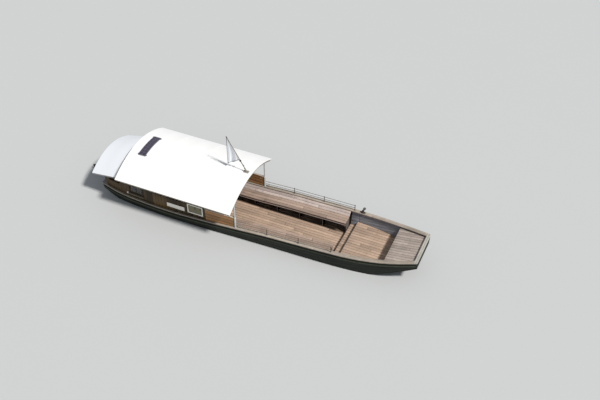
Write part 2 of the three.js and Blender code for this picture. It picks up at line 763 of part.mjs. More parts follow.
// Low side rail: three stanchions on the gunwale cap with two wires through them
function sideRail(side) {
  const pieces = STANCHION_XS.flatMap((x) => {
    const y = side * (rim(x).half - RAIL_INSET);
    const z = Math.max(rim(x - FOOT_W / 2).z, rim(x + FOOT_W / 2).z) + GAP;
    const w = STANCHION_W / 2;
    return [
      box(x - FOOT_W / 2, x + FOOT_W / 2, y - w * 2, y + w * 2, z, z + FOOT_T),
      box(x - w, x + w, y - w, y + w, z + FOOT_T / 2, z + STANCHION_H),
    ];
  });
  const wireStart = POST_X + POST_SLEEVE_R + END_GAP;
  for (const height of WIRE_HEIGHTS) {
    pieces.push(strip(wireStart, STANCHION_XS.at(-1), side, (x) => {
      const y = rim(x).half - RAIL_INSET;
      const z = rim(x).z + height;
      return [y + WIRE_R, y - WIRE_R].flatMap((edge) => [[edge, z - WIRE_R], [edge, z + WIRE_R]]);
    }));
  }
  return join(pieces);
}

for (const [name, side] of SIDES) {
  add(`bay_panel_${name}`, 'wallWood', bayPanel(side));
  add(`bay_handrail_${name}`, 'greyWood', handrail(side));
  add(`front_post_${name}`, 'paintedSteel', frontPost(side));
  add(`side_rail_${name}`, 'darkSteel', sideRail(side));
}

// Solar panel, flag and sign boards
function solarPanel() {
  const { x0, x1, half, thick } = SOLAR;
  const layer = (lift) => [x0, x1].map((x) => roofPoints(half, (y) => [x, y, roofTop(y) + lift]));
  return slab(layer(SOLAR_LIFT), layer(SOLAR_LIFT + thick));
}

function alongStaff(t) {
  return STAFF_FOOT.map((value, k) => THREE.MathUtils.lerp(value, STAFF_TOP[k], t));
}

function flagBracket() {
  const [x, y] = STAFF_FOOT;
  const { halfLength, halfWidth, thick } = STAFF_PLATE;
  const low = roofTop(y - halfWidth) + SEAM;
  const plate = box(x - halfLength, x + halfLength, y - halfWidth, y + halfWidth, low, low + thick);
  const [start, end] = STAFF_SOCKET_SPAN.map(alongStaff);
  const socket = rod(start, end, STAFF_R + STAFF_SOCKET_T, 12);
  return join([plate, cut(socket, [rod(STAFF_FOOT, STAFF_TOP, STAFF_R + SEAM, 12)])]);
}

// The cloth hangs straight down from the staff's upper part
function flag() {
  const [tipX, y, tipZ] = alongStaff(FLAG_TO);
  const [kneeX, , kneeZ] = alongStaff(FLAG_FROM);
  const off = STAFF_R + FLAG_OFF_STAFF;
  const hoistX = tipX - off;
  const corners = [[hoistX, tipZ - FLAG_TIP_DROP], [hoistX, tipZ - FLAG_DROP], [kneeX - 2 * off, kneeZ]];
  const face = (side) => corners.map(([x, z]) => [x, y + side * FLAG_T / 2, z]);
  const geometry = new THREE.BufferGeometry();
  geometry.setAttribute('position', new THREE.Float32BufferAttribute([face(-1), face(1)].flat(2), 3));
  geometry.setIndex([0, 1, 2, 5, 4, 3, 0, 3, 4, 0, 4, 1, 1, 4, 5, 1, 5, 2, 2, 5, 3, 2, 3, 0]);
  return facingOut(geometry);
}

add('solar_panel', 'solar', solarPanel());
add('flag_bracket', 'darkSteel', flagBracket());
add('flag_staff', 'darkSteel', rod(STAFF_FOOT, STAFF_TOP, STAFF_R, 12));
add('flag', 'cloth', flag());

function signBoard({ x0, x1, z0, z1 }) {
  const face = Math.max(rim(x0).half, rim(x1).half, rim((x0 + x1) / 2).half) - WALL_INSET + SEAM;
  return box(x0, x1, -face - BOARD_THICK, -face, z0, z1);
}

add('banner_board', 'board', signBoard(BANNER));
add('poster_board', 'board', signBoard(POSTER));

// Rudder with its tiller, hung on brackets behind the stern board
function rudder() {
  const blade = box(BLADE_END_X, RUDDER_X, -BLADE_T / 2, BLADE_T / 2, BLADE_BOTTOM, BLADE_TOP);
  return join([upright(RUDDER_X, 0, STOCK_BOTTOM, STOCK_TOP, STOCK_R), blade]);
}

function rudderBrackets() {
  const backX = STERN_X - SEAM;
  const plate = (x0, z0, z1) => box(x0, backX, -BRACKET_HALF, BRACKET_HALF, z0, z1);
  const pieces = BRACKET_ZS.map((z) => {
    const arm = plate(RUDDER_X - BRACKET_HALF, z, z + BRACKET_T);
    return cut(arm, [upright(RUDDER_X, 0, z - PAST, z + PAST, STOCK_R + PIN_GAP)]);
  });
  return join([...pieces, plate(backX - BRACKET_BACK_T, BRACKET_ZS[0], BRACKET_ZS[1] + BRACKET_T)]);
}

function tiller() {
  const z = TILLER_Z;
  const hub = upright(RUDDER_X, 0, z - HUB_DOWN, z + HUB_UP, STOCK_R + HUB_T);
  const start = [RUDDER_X + STOCK_R + HUB_T / 2, 0, z];
  const bar = rod(start, [TILLER_END_X, 0, z + TILLER_RISE], TILLER_R, 10);
  return cut(join([hub, bar]), [upright(RUDDER_X, 0, z - PAST, z + PAST, STOCK_R + GAP)]);
}

add('rudder_brackets', 'darkSteel', rudderBrackets());
add('rudder', 'hullWood', rudder());
add('tiller', 'darkSteel', tiller());

// Tow eye that swings on a post on the port gunwale, and holds the ferry's line
const towY = rim(TOW_X).half - TOW_INSET;
const towZ = Math.max(rim(TOW_X - TOW_BASE.halfLength).z, rim(TOW_X + TOW_BASE.halfLength).z) + GAP;

function towBracket() {
  const { halfLength, halfWidth, thick } = TOW_BASE;
  const top = towZ + TOW_POST_H;
  return join([
    box(TOW_X - halfLength, TOW_X + halfLength, towY - halfWidth, towY + halfWidth, towZ, towZ + thick),
    upright(TOW_X, towY, towZ + thick / 2, top, TOW_POST_R),
    upright(TOW_X, towY, top - thick, top, TOW_CAP_R),
  ]);
}

function towEye() {
  const low = towZ + TOW_EYE_LIFT;
  const high = low + TOW_EYE_T;
  const collar = upright(TOW_X, towY, low, high, TOW_COLLAR_R);
  const armHalf = TOW_ARM_W / 2;
  const arm = box(TOW_X - armHalf, TOW_X + armHalf, towY + TOW_POST_R, towY + TOW_REACH, low, high);
  const end = upright(TOW_X, towY + TOW_REACH, low, high, TOW_END_R);
  return cut(join([collar, arm, end]), [
    upright(TOW_X, towY, low - PAST, high + PAST, TOW_POST_R + PIN_GAP),
    upright(TOW_X, towY + TOW_REACH, low - PAST, high + PAST, TOW_HOLE_R),
  ]);
}

add('tow_bracket', 'darkSteel', towBracket());
add('tow_eye', 'darkSteel', towEye());

export default ferry;
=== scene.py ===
"""Builds the visual model of a wooden passenger ferry round its packed frame."""

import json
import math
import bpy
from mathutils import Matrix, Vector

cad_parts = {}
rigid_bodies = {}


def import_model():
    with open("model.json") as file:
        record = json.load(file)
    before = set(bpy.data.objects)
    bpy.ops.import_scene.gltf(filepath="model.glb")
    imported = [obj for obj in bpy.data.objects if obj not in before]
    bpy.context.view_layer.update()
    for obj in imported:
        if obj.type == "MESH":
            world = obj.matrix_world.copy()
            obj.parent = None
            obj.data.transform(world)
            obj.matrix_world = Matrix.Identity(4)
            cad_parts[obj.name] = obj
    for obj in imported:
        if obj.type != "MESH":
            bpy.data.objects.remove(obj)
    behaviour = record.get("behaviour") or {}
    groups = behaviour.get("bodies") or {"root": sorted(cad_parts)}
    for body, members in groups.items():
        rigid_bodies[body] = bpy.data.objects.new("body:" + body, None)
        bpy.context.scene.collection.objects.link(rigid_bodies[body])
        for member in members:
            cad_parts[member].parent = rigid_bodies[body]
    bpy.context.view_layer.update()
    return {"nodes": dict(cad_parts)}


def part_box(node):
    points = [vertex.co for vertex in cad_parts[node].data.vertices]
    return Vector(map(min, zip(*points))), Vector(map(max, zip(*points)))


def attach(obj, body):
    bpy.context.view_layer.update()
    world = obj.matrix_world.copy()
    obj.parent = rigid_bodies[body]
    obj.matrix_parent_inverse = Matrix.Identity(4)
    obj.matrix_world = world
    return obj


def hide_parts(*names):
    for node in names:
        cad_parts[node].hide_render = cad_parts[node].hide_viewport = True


bl_info = {
    "name": "Passenger ferry",
    "version": (1, 0, 0),
    "blender": (4, 5, 0),
    "location": "View3D > Sidebar > Ferry",
    "description": "Builds a river ferry's planks, cabin, canvas roofs and fittings round its frame",
    "category": "Mesh",
}

import bmesh
import bpy
from bpy.props import FloatProperty, FloatVectorProperty, IntProperty, PointerProperty
from bpy.types import Operator, Panel, PropertyGroup
from mathutils import Matrix, Vector

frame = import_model()

X, Y, Z = Vector((1, 0, 0)), Vector((0, 1, 0)), Vector((0, 0, 1))
SIDES = (("port", 1), ("starboard", -1))

# Sizes that the pieces share with the frame, in metres
WATERLINE = 0.35
FLARE = 0.2
SIDE_T = 0.04
CAP_T = 0.035
BOARD_T = 0.028
FLOOR_SIDE_GAP = 0.006
SEAT_T = 0.03
SEAT_DROP = 0.17
WALL_INSET = 0.05
WALL_T = 0.045
RAIL_INSET = 0.058
ROOF_HALF = 1.545
ROOF_EAVE = 1.79
ROOF_RISE = 0.47
ROOF_T = 0.045
FLOOR_TOP = 0.31

# Angles below which faces count as flat, smooth or not worth rounding
FLAT_ANGLE = math.radians(0.3)
SMOOTH_ANGLE = math.radians(35)
BEVEL_ANGLE = math.radians(38)


# Lines of the hull


def rim_stations():
    """(x, half width, height) along the hull's rim, read from the port gunwale's outer top edge"""
    found = {}
    for vertex in frame["nodes"]["gunwale_port"].data.vertices:
        x, y, z = vertex.co
        found[round(x, 3)] = max(found.get(round(x, 3), (0, 0)), (round(y, 5), round(z, 5)))
    return [(x, y - 0.012, z) for x, (y, z) in sorted(found.items())]


RIM = rim_stations()


def rim(x):
    """Half width and height of the hull's rim at x"""
    k = min(max(sum(row[0] <= x for row in RIM), 1), len(RIM) - 1)
    (x0, y0, z0), (x1, y1, z1) = RIM[k - 1], RIM[k]
    part = (x - x0) / (x1 - x0)
    return y0 + (y1 - y0) * part, z0 + (z1 - z0) * part


def hull_half(x, z):
    """Half width of the hull's outer face at x and z"""
    half, top = rim(x)
    return half - FLARE * (top - z)


def roof_top(y):
    return ROOF_EAVE + ROOF_RISE * (1 - (y / ROOF_HALF) ** 2)


def marks(low, high, pitch):
    """Places of the cuts that part a width into equal boards of about that pitch"""
    count = max(round((high - low) / pitch), 1)
    return [low + (high - low) * k / count for k in range(1, count)]


def staggered(k, low, high, length):
    """Places of the butt joints in board number k"""
    first = low + length * ((k * 0.618 + 0.31) % 1)
    places = [first + n * length for n in range(int((high - low) / length) + 1)]
    return [x for x in places if low + 0.3 < x < high - 0.3]


# Modelling


def pick(*objects):
    """Selects these objects alone and makes the first one active"""
    bpy.ops.object.select_all(action="DESELECT")
    for obj in objects:
        obj.select_set(True)
    bpy.context.view_layer.objects.active = objects[0]


def edit(obj, kind="FACE", action="DESELECT"):
    """Opens a piece in edit mode with all or nothing selected"""
    pick(obj)
    bpy.ops.object.mode_set(mode="EDIT")
    bpy.ops.mesh.select_mode(type=kind)
    bpy.ops.mesh.select_all(action=action)


def done():
    bpy.ops.object.mode_set(mode="OBJECT")


def choose(obj, test, kind="FACE"):
    """In edit mode, selects only the faces or edges that pass the test"""
    bpy.ops.mesh.select_mode(type=kind)
    bpy.ops.mesh.select_all(action="DESELECT")
    mesh = bmesh.from_edit_mesh(obj.data)
    for item in mesh.faces if kind == "FACE" else mesh.edges:
        if test(item):
            item.select_set(True)
    mesh.select_flush_mode()
    bmesh.update_edit_mesh(obj.data)


def place(obj):
    """Moves a piece's place into its mesh"""
    pick(obj)
    bpy.ops.object.transform_apply(location=True, rotation=True, scale=True)
    return obj


def modify(obj, kind, **values):
    """Adds a modifier, sets it and applies it"""
    pick(obj)
    bpy.ops.object.modifier_add(type=kind)
    modifier = obj.modifiers[-1]
    for key, value in values.items():
        setattr(modifier, key, value)
    bpy.ops.object.modifier_apply(modifier=modifier.name)


def duplicate(obj):
    twin = obj.copy()
    twin.data = obj.data.copy()
    bpy.context.scene.collection.objects.link(twin)
    return twin


def join(parts):
    """Makes one piece of several"""
    pick(*parts)
    if len(parts) > 1:
        bpy.ops.object.join()
    return place(parts[0])


def copy_of(node, flat=True):
    """A merged copy of a CAD node, with its flat faces whole"""
    obj = bpy.data.objects.new(node + "_copy", frame["nodes"][node].data.copy())
    bpy.context.scene.collection.objects.link(obj)
    obj.data.materials.clear()
    pick(obj)
    bpy.ops.mesh.customdata_custom_splitnormals_clear()
    edit(obj, "VERT", "SELECT")
    bpy.ops.mesh.remove_doubles(threshold=2e-5)
    if flat:
        bpy.ops.mesh.dissolve_limited(angle_limit=FLAT_ANGLE)
    done()
    return obj


def skin(node, test, flat=False):
    """The faces of a node that pass the test, as an open sheet, in whole strips or all flat"""
    obj = copy_of(node, False)
    edit(obj)
    choose(obj, lambda face: not test(face))
    bpy.ops.mesh.delete(type="FACE")
    if flat:
        bpy.ops.mesh.select_all(action="SELECT")
        bpy.ops.mesh.dissolve_limited(angle_limit=FLAT_ANGLE)
    else:
        choose(obj, is_diagonal, "EDGE")
        bpy.ops.mesh.dissolve_edges(use_verts=False)
    done()
    return obj


def is_diagonal(edge):
    """True for the edge that parts a strip's four-sided face into two triangles"""
    if edge.is_boundary or any(len(face.edges) != 3 for face in edge.link_faces):
        return False
    length = edge.calc_length() + 1e-6
    return all(length >= other.calc_length() for face in edge.link_faces for other in face.edges)


def faces_up(face):
    return face.normal.z > 0.7


def roof_face(face):
    return face.normal.z > 0.5


def along_boat(edge):
    return abs(edge.verts[0].co.x - edge.verts[1].co.x) > 1e-4


def trim(obj, point, normal, solid=True):
    """Cuts off what lies on the side of the plane that its normal points to"""
    edit(obj, "FACE", "SELECT")
    bpy.ops.mesh.bisect(plane_co=point, plane_no=normal, use_fill=solid, clear_outer=True)
    done()
    return obj


def split(obj, normal, places, gap, solid=True):
    """Cuts a piece into boards at the places along the normal, with a gap between them"""
    parts = []
    edges = [None, *places, None]
    for low, high in zip(edges, edges[1:]):
        part = duplicate(obj)
        if low is not None:
            trim(part, normal * (low + gap / 2), -normal, solid)
        if high is not None:
            trim(part, normal * (high - gap / 2), normal, solid)
        if part.data.polygons:
            parts.append(part)
        else:
            bpy.data.objects.remove(part)
    bpy.data.objects.remove(obj)
    return parts


def strakes(sheet, count, order):
    """Parts a sheet of strips into lengthwise boards of equal width, sorted by their middle"""
    before = set(bpy.data.objects)
    edit(sheet, "EDGE")
    if count > 1:
        choose(sheet, lambda edge: not along_boat(edge), "EDGE")
        bpy.ops.mesh.subdivide(number_cuts=count - 1)
        choose(sheet, lambda edge: along_boat(edge) and not edge.is_boundary, "EDGE")
        bpy.ops.mesh.edge_split(type="EDGE")
        bpy.ops.mesh.select_all(action="SELECT")
        bpy.ops.mesh.separate(type="LOOSE")
    done()
    parts = [sheet, *(obj for obj in bpy.data.objects if obj not in before)]

    def middle(part):
        points = [vertex.co for vertex in part.data.vertices]
        return order(sum(points, Vector()) / len(points))

    return sorted(parts, key=middle)


def narrow(obj, margin):
    """Takes a margin off all round an open sheet"""
    edit(obj, "FACE", "SELECT")
    bpy.ops.mesh.inset(thickness=margin, use_boundary=True, use_even_offset=True)
    bpy.ops.mesh.select_all(action="INVERT")
    bpy.ops.mesh.delete(type="FACE")
    done()
    return obj


def block(low, high):
    """A block between two corners"""
    low, high = Vector(low), Vector(high)
    bpy.ops.object.select_all(action="DESELECT")
    bpy.ops.mesh.primitive_cube_add(size=1, location=(low + high) / 2, scale=high - low)
    return place(bpy.context.object)


def turned(profile, base=(0, 0, 0), direction=Z, sides=20):
    """A round piece turned about an axis from a profile of (radius, height) pairs"""
    bpy.ops.object.select_all(action="DESELECT")
    bpy.ops.mesh.primitive_plane_add(size=1)
    obj = bpy.context.object
    edit(obj, "VERT", "SELECT")
    bpy.ops.mesh.merge(type="CENTER")
    radius, height = profile[0]
    bpy.ops.transform.translate(value=(radius, 0, height))
    for next_radius, next_height in profile[1:]:
        step = (next_radius - radius, 0, next_height - height)
        bpy.ops.mesh.extrude_region_move(TRANSFORM_OT_translate={"value": step})
        radius, height = next_radius, next_height
    bpy.ops.mesh.select_all(action="SELECT")
    bpy.ops.mesh.spin(steps=sides, angle=math.tau, center=(0, 0, 0), axis=(0, 0, 1))
    bpy.ops.mesh.select_all(action="SELECT")
    bpy.ops.mesh.remove_doubles(threshold=1e-5)
    bpy.ops.mesh.normals_make_consistent(inside=False)
    done()
    aim(obj, base, direction)
    return place(obj)


def aim(obj, base, direction):
    """Stands a piece on a point with its Z axis along a direction"""
    turn = Vector(direction).to_track_quat("Z", "Y").to_matrix().to_4x4()
    obj.matrix_world = Matrix.Translation(base) @ turn


def rod(start, end, radius, sides=10):
    """A round bar with eased ends between two points"""
    start, end = Vector(start), Vector(end)
    length, ease = (end - start).length, radius * 0.25
    outline = [(0, 0), (radius - ease, 0), (radius, ease), (radius, length - ease)]
    return turned([*outline, (radius - ease, length), (0, length)], start, end - start, sides)


def repeated(pattern, places):
    """Copies of one small piece at each (point, direction), joined"""
    parts = []
    for point, direction in places:
        twin = duplicate(pattern)
        aim(twin, point, direction)
        parts.append(twin)
    bpy.data.objects.remove(pattern)
    return join(parts)


def ring_outline(inner, outer, foot, top, ease):
    """Profile of a ring with eased outer edges"""
    lower = [(inner, foot), (outer - ease, foot), (outer, foot + ease)]
    upper = [(outer, top - ease), (outer - ease, top), (inner, top), (inner, foot)]
    return [*lower, *upper]


def bolt_head(radius=0.011, height=0.006):
    outline = [(0, height), (radius * 0.55, height), (radius * 0.95, height * 0.5)]
    return turned([*outline, (radius, -0.002), (0, -0.002)], sides=8)


def nail_head():
    return turned([(0, 0.0008), (0.0045, 0.0008), (0.0055, -0.001), (0, -0.001)], sides=6)


def ring_frame(width, height, depth, border):
    """An upright frame round the origin, with its opening along Y"""
    half = Vector((width / 2, depth / 2, height / 2))
    obj = block(-half, half)
    edit(obj)
    choose(obj, lambda face: abs(face.normal.y) > 0.9)
    bpy.ops.mesh.inset(thickness=border, use_even_offset=True)
    bpy.ops.mesh.bridge_edge_loops()
    bpy.ops.mesh.select_all(action="SELECT")
    bpy.ops.mesh.normals_make_consistent(inside=False)
    done()
    return obj


def set_in(parts, centre, outward, up=Z):
    """Moves parts modelled round the origin to a wall: their -Y side faces outward"""
    back = -Vector(outward).normalized()
    up = Vector(up).normalized()
    basis = Matrix((back.cross(up), back, up)).transposed().to_4x4()
    for part in parts:
        part.matrix_world = Matrix.Translation(centre) @ basis
        place(part)
    return parts


def build(name, parts, finish, edge=None, bevel=0.002, thickness=0.0, nodes=(), body="hull",
          tones=None):
    """Gives boards or parts their thickness, rounded edges and finish, and makes one piece of them"""
    start = sum(map(ord, name)) * 0.137
    for k, part in enumerate(parts):
        part.data.materials.clear()
        part.data.materials.append(finish)
        if edge:
            part.data.materials.append(edge)
        tone = tones[k] if tones else (start + k * 0.618) % 1
        values = [tone] * len(part.data.vertices)
        part.data.attributes.new("board", "FLOAT", "POINT").data.foreach_set("value", values)
        if thickness:
            modify(part, "SOLIDIFY", thickness=thickness, offset=-1, use_even_offset=True)
        if bevel:
            limit = {"limit_method": "ANGLE", "angle_limit": BEVEL_ANGLE}
            modify(part, "BEVEL", width=bevel, segments=2, material=1 if edge else -1, **limit)
    return settle(name, join(parts), nodes, body)


def settle(name, obj, nodes=(), body="hull"):
    """Names a finished piece, smooths it and gives it its place among the frame's nodes"""
    obj.name = obj.data.name = name
    pick(obj)
    bpy.ops.object.shade_smooth_by_angle(angle=SMOOTH_ANGLE)
    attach(obj, body)
    if nodes:
        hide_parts(*nodes)
    return obj


def ironwork(name, parts, finish, bevel=0.0, nodes=(), body="hull"):
    """A piece of iron or steel"""
    return build(name, parts, finish, None, bevel, 0, nodes, body)


def corner_heads(x, y, z, out_x, out_y):
    """Places of four bolt heads round a point of a level plate"""
    return [(Vector((x + dx, y + dy, z)), Z) for dx in (-out_x, out_x) for dy in (-out_y, out_y)]


def bolts(name, radius, height, places, finish=None, body="hull"):
    """One piece of bolt or screw heads, with a head at each (point, direction)"""
    heads = repeated(bolt_head(radius, height), places)
    return ironwork(name, [heads], finish or galvanised(), body=body)


# Sizes and colours a user would change


def paint(red, green, blue):
    """A colour in linear light from its 0 to 255 screen values"""
    parts = (value / 255 for value in (red, green, blue))
    return tuple(v / 12.92 if v <= 0.04045 else ((v + 0.055) / 1.055) ** 2.4 for v in parts)


def length(name, description, default):
    return FloatProperty(name=name, description=description, default=default, min=0, unit="LENGTH")


def colour(name, description, *screen):
    return FloatVectorProperty(
        name=name, description=description, default=paint(*screen), subtype="COLOR", min=0, max=1
    )


class FerryBoards(PropertyGroup):
    """Widths of the boards and of the gaps between them"""

    deck_board: length("Deck board", "Width of a floor's board", 0.112)
    deck_gap: length("Deck gap", "Gap between the floor's boards", 0.008)
    wall_board: length("Wall board", "Width of a cabin wall's board", 0.118)
    wall_gap: length("Wall gap", "Gap between the wall's boards", 0.003)
    board_length: length("Board length", "Length of a floor's board between butt joints", 2.6)
    slat_gap: length("Slat gap", "Gap between a bench's slats", 0.008)
    strake_count: IntProperty(
        name="Strakes", description="Planks up each side of the hull", default=5, min=1
    )
    slat_count: IntProperty(name="Slats", description="Slats of a bench's seat", default=3, min=1)


class FerryCloth(PropertyGroup):
    """Canvas and flag"""

    canvas_thickness: length("Canvas thickness", "Thickness of the roof canvas", 0.0025)
    canvas_drop: length("Canvas drop", "Width of the hem folded down round the roof", 0.04)
    canvas_sag: length("Canvas sag", "Depth of the hollows between the roof's ribs", 0.005)
    rib_pitch: length("Rib pitch", "Distance between the ribs under the canvas", 0.61)
    fold_depth: length("Fold depth", "Half the depth of the flag's folds", 0.024)
    fold_count: FloatProperty(name="Folds", description="Folds across the flag", default=1.7, min=0)


class FerryColours(PropertyGroup):
    """Colours of the finishes"""

    deck: colour("Deck", "Weathered boards of the well and the boarding deck", 193, 167, 146)
    bow_deck: colour("Bow deck", "Greyer boards at the bow", 184, 170, 160)
    seat: colour("Seat", "Oiled boards of the benches", 173, 151, 136)
    back: colour("Seat back", "Boards behind the benches", 206, 190, 182)
    rim: colour("Rim", "Grey boards of the gunwales", 178, 166, 152)
    end_rim: colour("End rims", "Paler boards across the bow and the stern", 190, 186, 177)
    strake: colour("Rub strake", "Boards along the hull's sides", 64, 68, 55)
    hull: colour("Hull", "Tarred planks below the rim", 38, 42, 35)
    # The wall colours are darker than the varnish's own tone: they carry painted shade, as the walls stand
    # in shade under the eaves
    wall_gold: colour("Wall, pale", "Palest varnished board of the cabin", 104, 80, 38)
    wall_dark: colour("Wall, dark", "Darkest varnished board of the cabin", 42, 33, 18)
    panel: colour("Bay panel", "Varnished boards beside the open bay", 178, 130, 80)
    lining: colour("Lining", "Slate grey boards inside the foredeck", 147, 149, 157)
    canvas: colour("Canvas", "Main roof", 236, 236, 234)
    tail_canvas: colour("Tail canvas", "Lower roof at the stern", 232, 233, 237)
    sign: colour("Sign", "Blank sign boards", 164, 158, 138)
    poster: colour("Poster", "Faded middle of the framed board", 130, 125, 98)
    steel: colour("Painted steel", "Front posts", 196, 202, 200)
    solar: colour("Solar cells", "Cells of the panel", 62, 54, 74)


class FerryStage(PropertyGroup):
    """Camera, light and floor"""

    eye: FloatVectorProperty(
        name="Camera", description="Place of the camera", default=(10.105, -18.363, 20.069),
        subtype="TRANSLATION", unit="LENGTH",
    )
    turn: FloatVectorProperty(
        name="Turn", description="Rotation of the camera", default=(0.83305, 0, 0.41721),
        subtype="EULER", unit="ROTATION",
    )
    lens: FloatProperty(name="Lens", description="Focal length in millimetres", default=50.51, min=1)
    sun: FloatProperty(name="Key light", description="Strength of the key light", default=3.45, min=0)
    softness: FloatProperty(
        name="Softness", description="Width of the key light", default=math.radians(7), subtype="ANGLE",
        unit="ROTATION",
    )
    sky: FloatProperty(name="Fill light", description="Strength of the fill light", default=0.34, min=0)
    floor: colour("Floor", "Colour of the floor", 196, 198, 198)


# Finishes


def node(tree, kind, values=None, **settings):
    """Adds a shader node, and sets its inputs to values or links them to sockets"""
    made = tree.nodes.new("ShaderNode" + kind)
    for key, value in settings.items():
        setattr(made, key, value)
    for key, value in (values or {}).items():
        if isinstance(value, bpy.types.NodeSocket):
            tree.links.new(value, made.inputs[key])
        else:
            made.inputs[key].default_value = value
    return made


def calc(tree, operation, *values):
    return node(tree, "Math", dict(enumerate(values)), operation=operation).outputs[0]


def scaled(tree, vector, factors):
    return node(tree, "VectorMath", {0: vector, 1: factors}, operation="MULTIPLY").outputs[0]


def span(tree, value, low, high, to_low=0.0, to_high=1.0):
    values = {"Value": value, "From Min": low, "From Max": high, "To Min": to_low, "To Max": to_high}
    return node(tree, "MapRange", values).outputs[0]


def noise(tree, vector, scale, detail=3.0, roughness=0.55):
    values = {"Vector": vector, "Scale": scale, "Detail": detail, "Roughness": roughness}
    return node(tree, "TexNoise", values).outputs["Fac"]


def mixed(tree, factor, first, second):
    made = node(tree, "Mix", {0: factor, 6: first, 7: second}, data_type="RGBA")
    return made.outputs[2]


def opaque(rgb):
    return (*rgb[:3], 1.0)


def shade(rgb, factor):
    return tuple(min(value * factor, 1.0) for value in rgb[:3])


def effect(name, inputs, outputs, fill):
    """A shader node group, built the first time that it is asked for"""
    if name in bpy.data.node_groups:
        return bpy.data.node_groups[name]
    tree = bpy.data.node_groups.new(name, "ShaderNodeTree")
    for label, kind in inputs:
        tree.interface.new_socket(name=label, in_out="INPUT", socket_type="NodeSocket" + kind)
    for label, kind in outputs:
        tree.interface.new_socket(name=label, in_out="OUTPUT", socket_type="NodeSocket" + kind)
    take = tree.nodes.new("NodeGroupInput").outputs
    give = tree.nodes.new("NodeGroupOutput").inputs
    for label, socket in fill(tree, take).items():
        tree.links.new(socket, give[label])
    return tree


def board_wood():
    """Sawn board: streaks along X, broader tones, cracks, and a tone of its own for each board"""
    inputs = [("Vector", "Vector"), ("Board", "Float"), ("Pale", "Color"), ("Deep", "Color")]
    inputs += [("Spread", "Float"), ("Grain", "Float"), ("Cracks", "Float")]
    outputs = [("Color", "Color"), ("Height", "Float"), ("Tone", "Float")]

    def fill(tree, take):
        shift = node(tree, "VectorMath", {0: take["Board"], 1: (19.7, 11.3, 7.9), 2: take["Vector"]})
        shift.operation = "MULTIPLY_ADD"
        own = shift.outputs[0]
        fine = noise(tree, scaled(tree, own, (1.7, 60, 60)), 1, 5, 0.62)
        broad = noise(tree, scaled(tree, own, (0.9, 8, 8)), 1, 3)
        crack = span(tree, noise(tree, scaled(tree, own, (1.1, 95, 95)), 1, 2), 0.3, 0.37, 1, 0)
        board = calc(tree, "MULTIPLY", calc(tree, "SUBTRACT", take["Board"], 0.5), take["Spread"])
        streak = calc(tree, "MULTIPLY", calc(tree, "SUBTRACT", fine, 0.5), take["Grain"])
        wave = calc(tree, "MULTIPLY_ADD", calc(tree, "SUBTRACT", broad, 0.5), 0.9, 0.5)
        tone = span(tree, calc(tree, "ADD", calc(tree, "ADD", board, streak), wave), 0, 1)
        base = mixed(tree, tone, take["Deep"], take["Pale"])
        split_open = calc(tree, "MULTIPLY", crack, take["Cracks"])
        dark = mixed(tree, split_open, base, (0.018, 0.014, 0.011, 1))
        height = calc(tree, "SUBTRACT", fine, calc(tree, "MULTIPLY", split_open, 1.5))
        return {"Color": dark, "Height": height, "Tone": tone}

    return effect("Board wood", inputs, outputs, fill)


def grime():
    """Dirt that lies in patches, with its mask"""
    inputs = [("Vector", "Vector"), ("Color", "Color"), ("Dirt", "Color")]
    inputs += [("Amount", "Float"), ("Size", "Float")]

    def fill(tree, take):
        values = {"Vector": take["Vector"], "Scale": take["Size"], "Detail": 8, "Roughness": 0.66}
        patches = node(tree, "TexNoise", values).outputs["Fac"]
        mask = calc(tree, "MULTIPLY", span(tree, patches, 0.46, 0.7), take["Amount"])
        return {"Color": mixed(tree, mask, take["Color"], take["Dirt"]), "Mask": mask}

    return effect("Grime", inputs, [("Color", "Color"), ("Mask", "Float")], fill)


def tide_line():
    """Wet and overgrown planks up to the waterline, with an uneven edge"""
    inputs = [("Vector", "Vector"), ("Color", "Color"), ("Growth", "Color"), ("Level", "Float")]

    def fill(tree, take):
        parts = node(tree, "SeparateXYZ", {0: take["Vector"]}).outputs
        wander = calc(tree, "SUBTRACT", noise(tree, take["Vector"], 3.5, 5), 0.5)
        uneven = calc(tree, "MULTIPLY", wander, 0.12)
        above = calc(tree, "SUBTRACT", calc(tree, "ADD", parts["Z"], uneven), take["Level"])
        mask = span(tree, above, 0.0, 0.09, 1, 0)
        return {"Color": mixed(tree, mask, take["Color"], take["Growth"]), "Mask": mask}

    return effect("Tide line", inputs, [("Color", "Color"), ("Mask", "Float")], fill)


def painted_eave_shade():
    """Painted shade under the eaves: boards darkened towards the top, fading out below"""
    inputs = [("Vector", "Vector"), ("Color", "Color"), ("Dark", "Color")]
    inputs += [("Level", "Float"), ("Amount", "Float")]

    def fill(tree, take):
        height = node(tree, "SeparateXYZ", {0: take["Vector"]}).outputs["Z"]
        wander = calc(tree, "SUBTRACT", noise(tree, take["Vector"], 2.5, 4), 0.5)
        uneven = calc(tree, "MULTIPLY", wander, 0.2)
        above = calc(tree, "SUBTRACT", calc(tree, "ADD", height, uneven), take["Level"])
        mask = calc(tree, "MULTIPLY", span(tree, above, -0.22, 0.02), take["Amount"])
        return {"Color": mixed(tree, mask, take["Color"], take["Dark"]), "Mask": mask}

    return effect("Sheltered top", inputs, [("Color", "Color"), ("Mask", "Float")], fill)


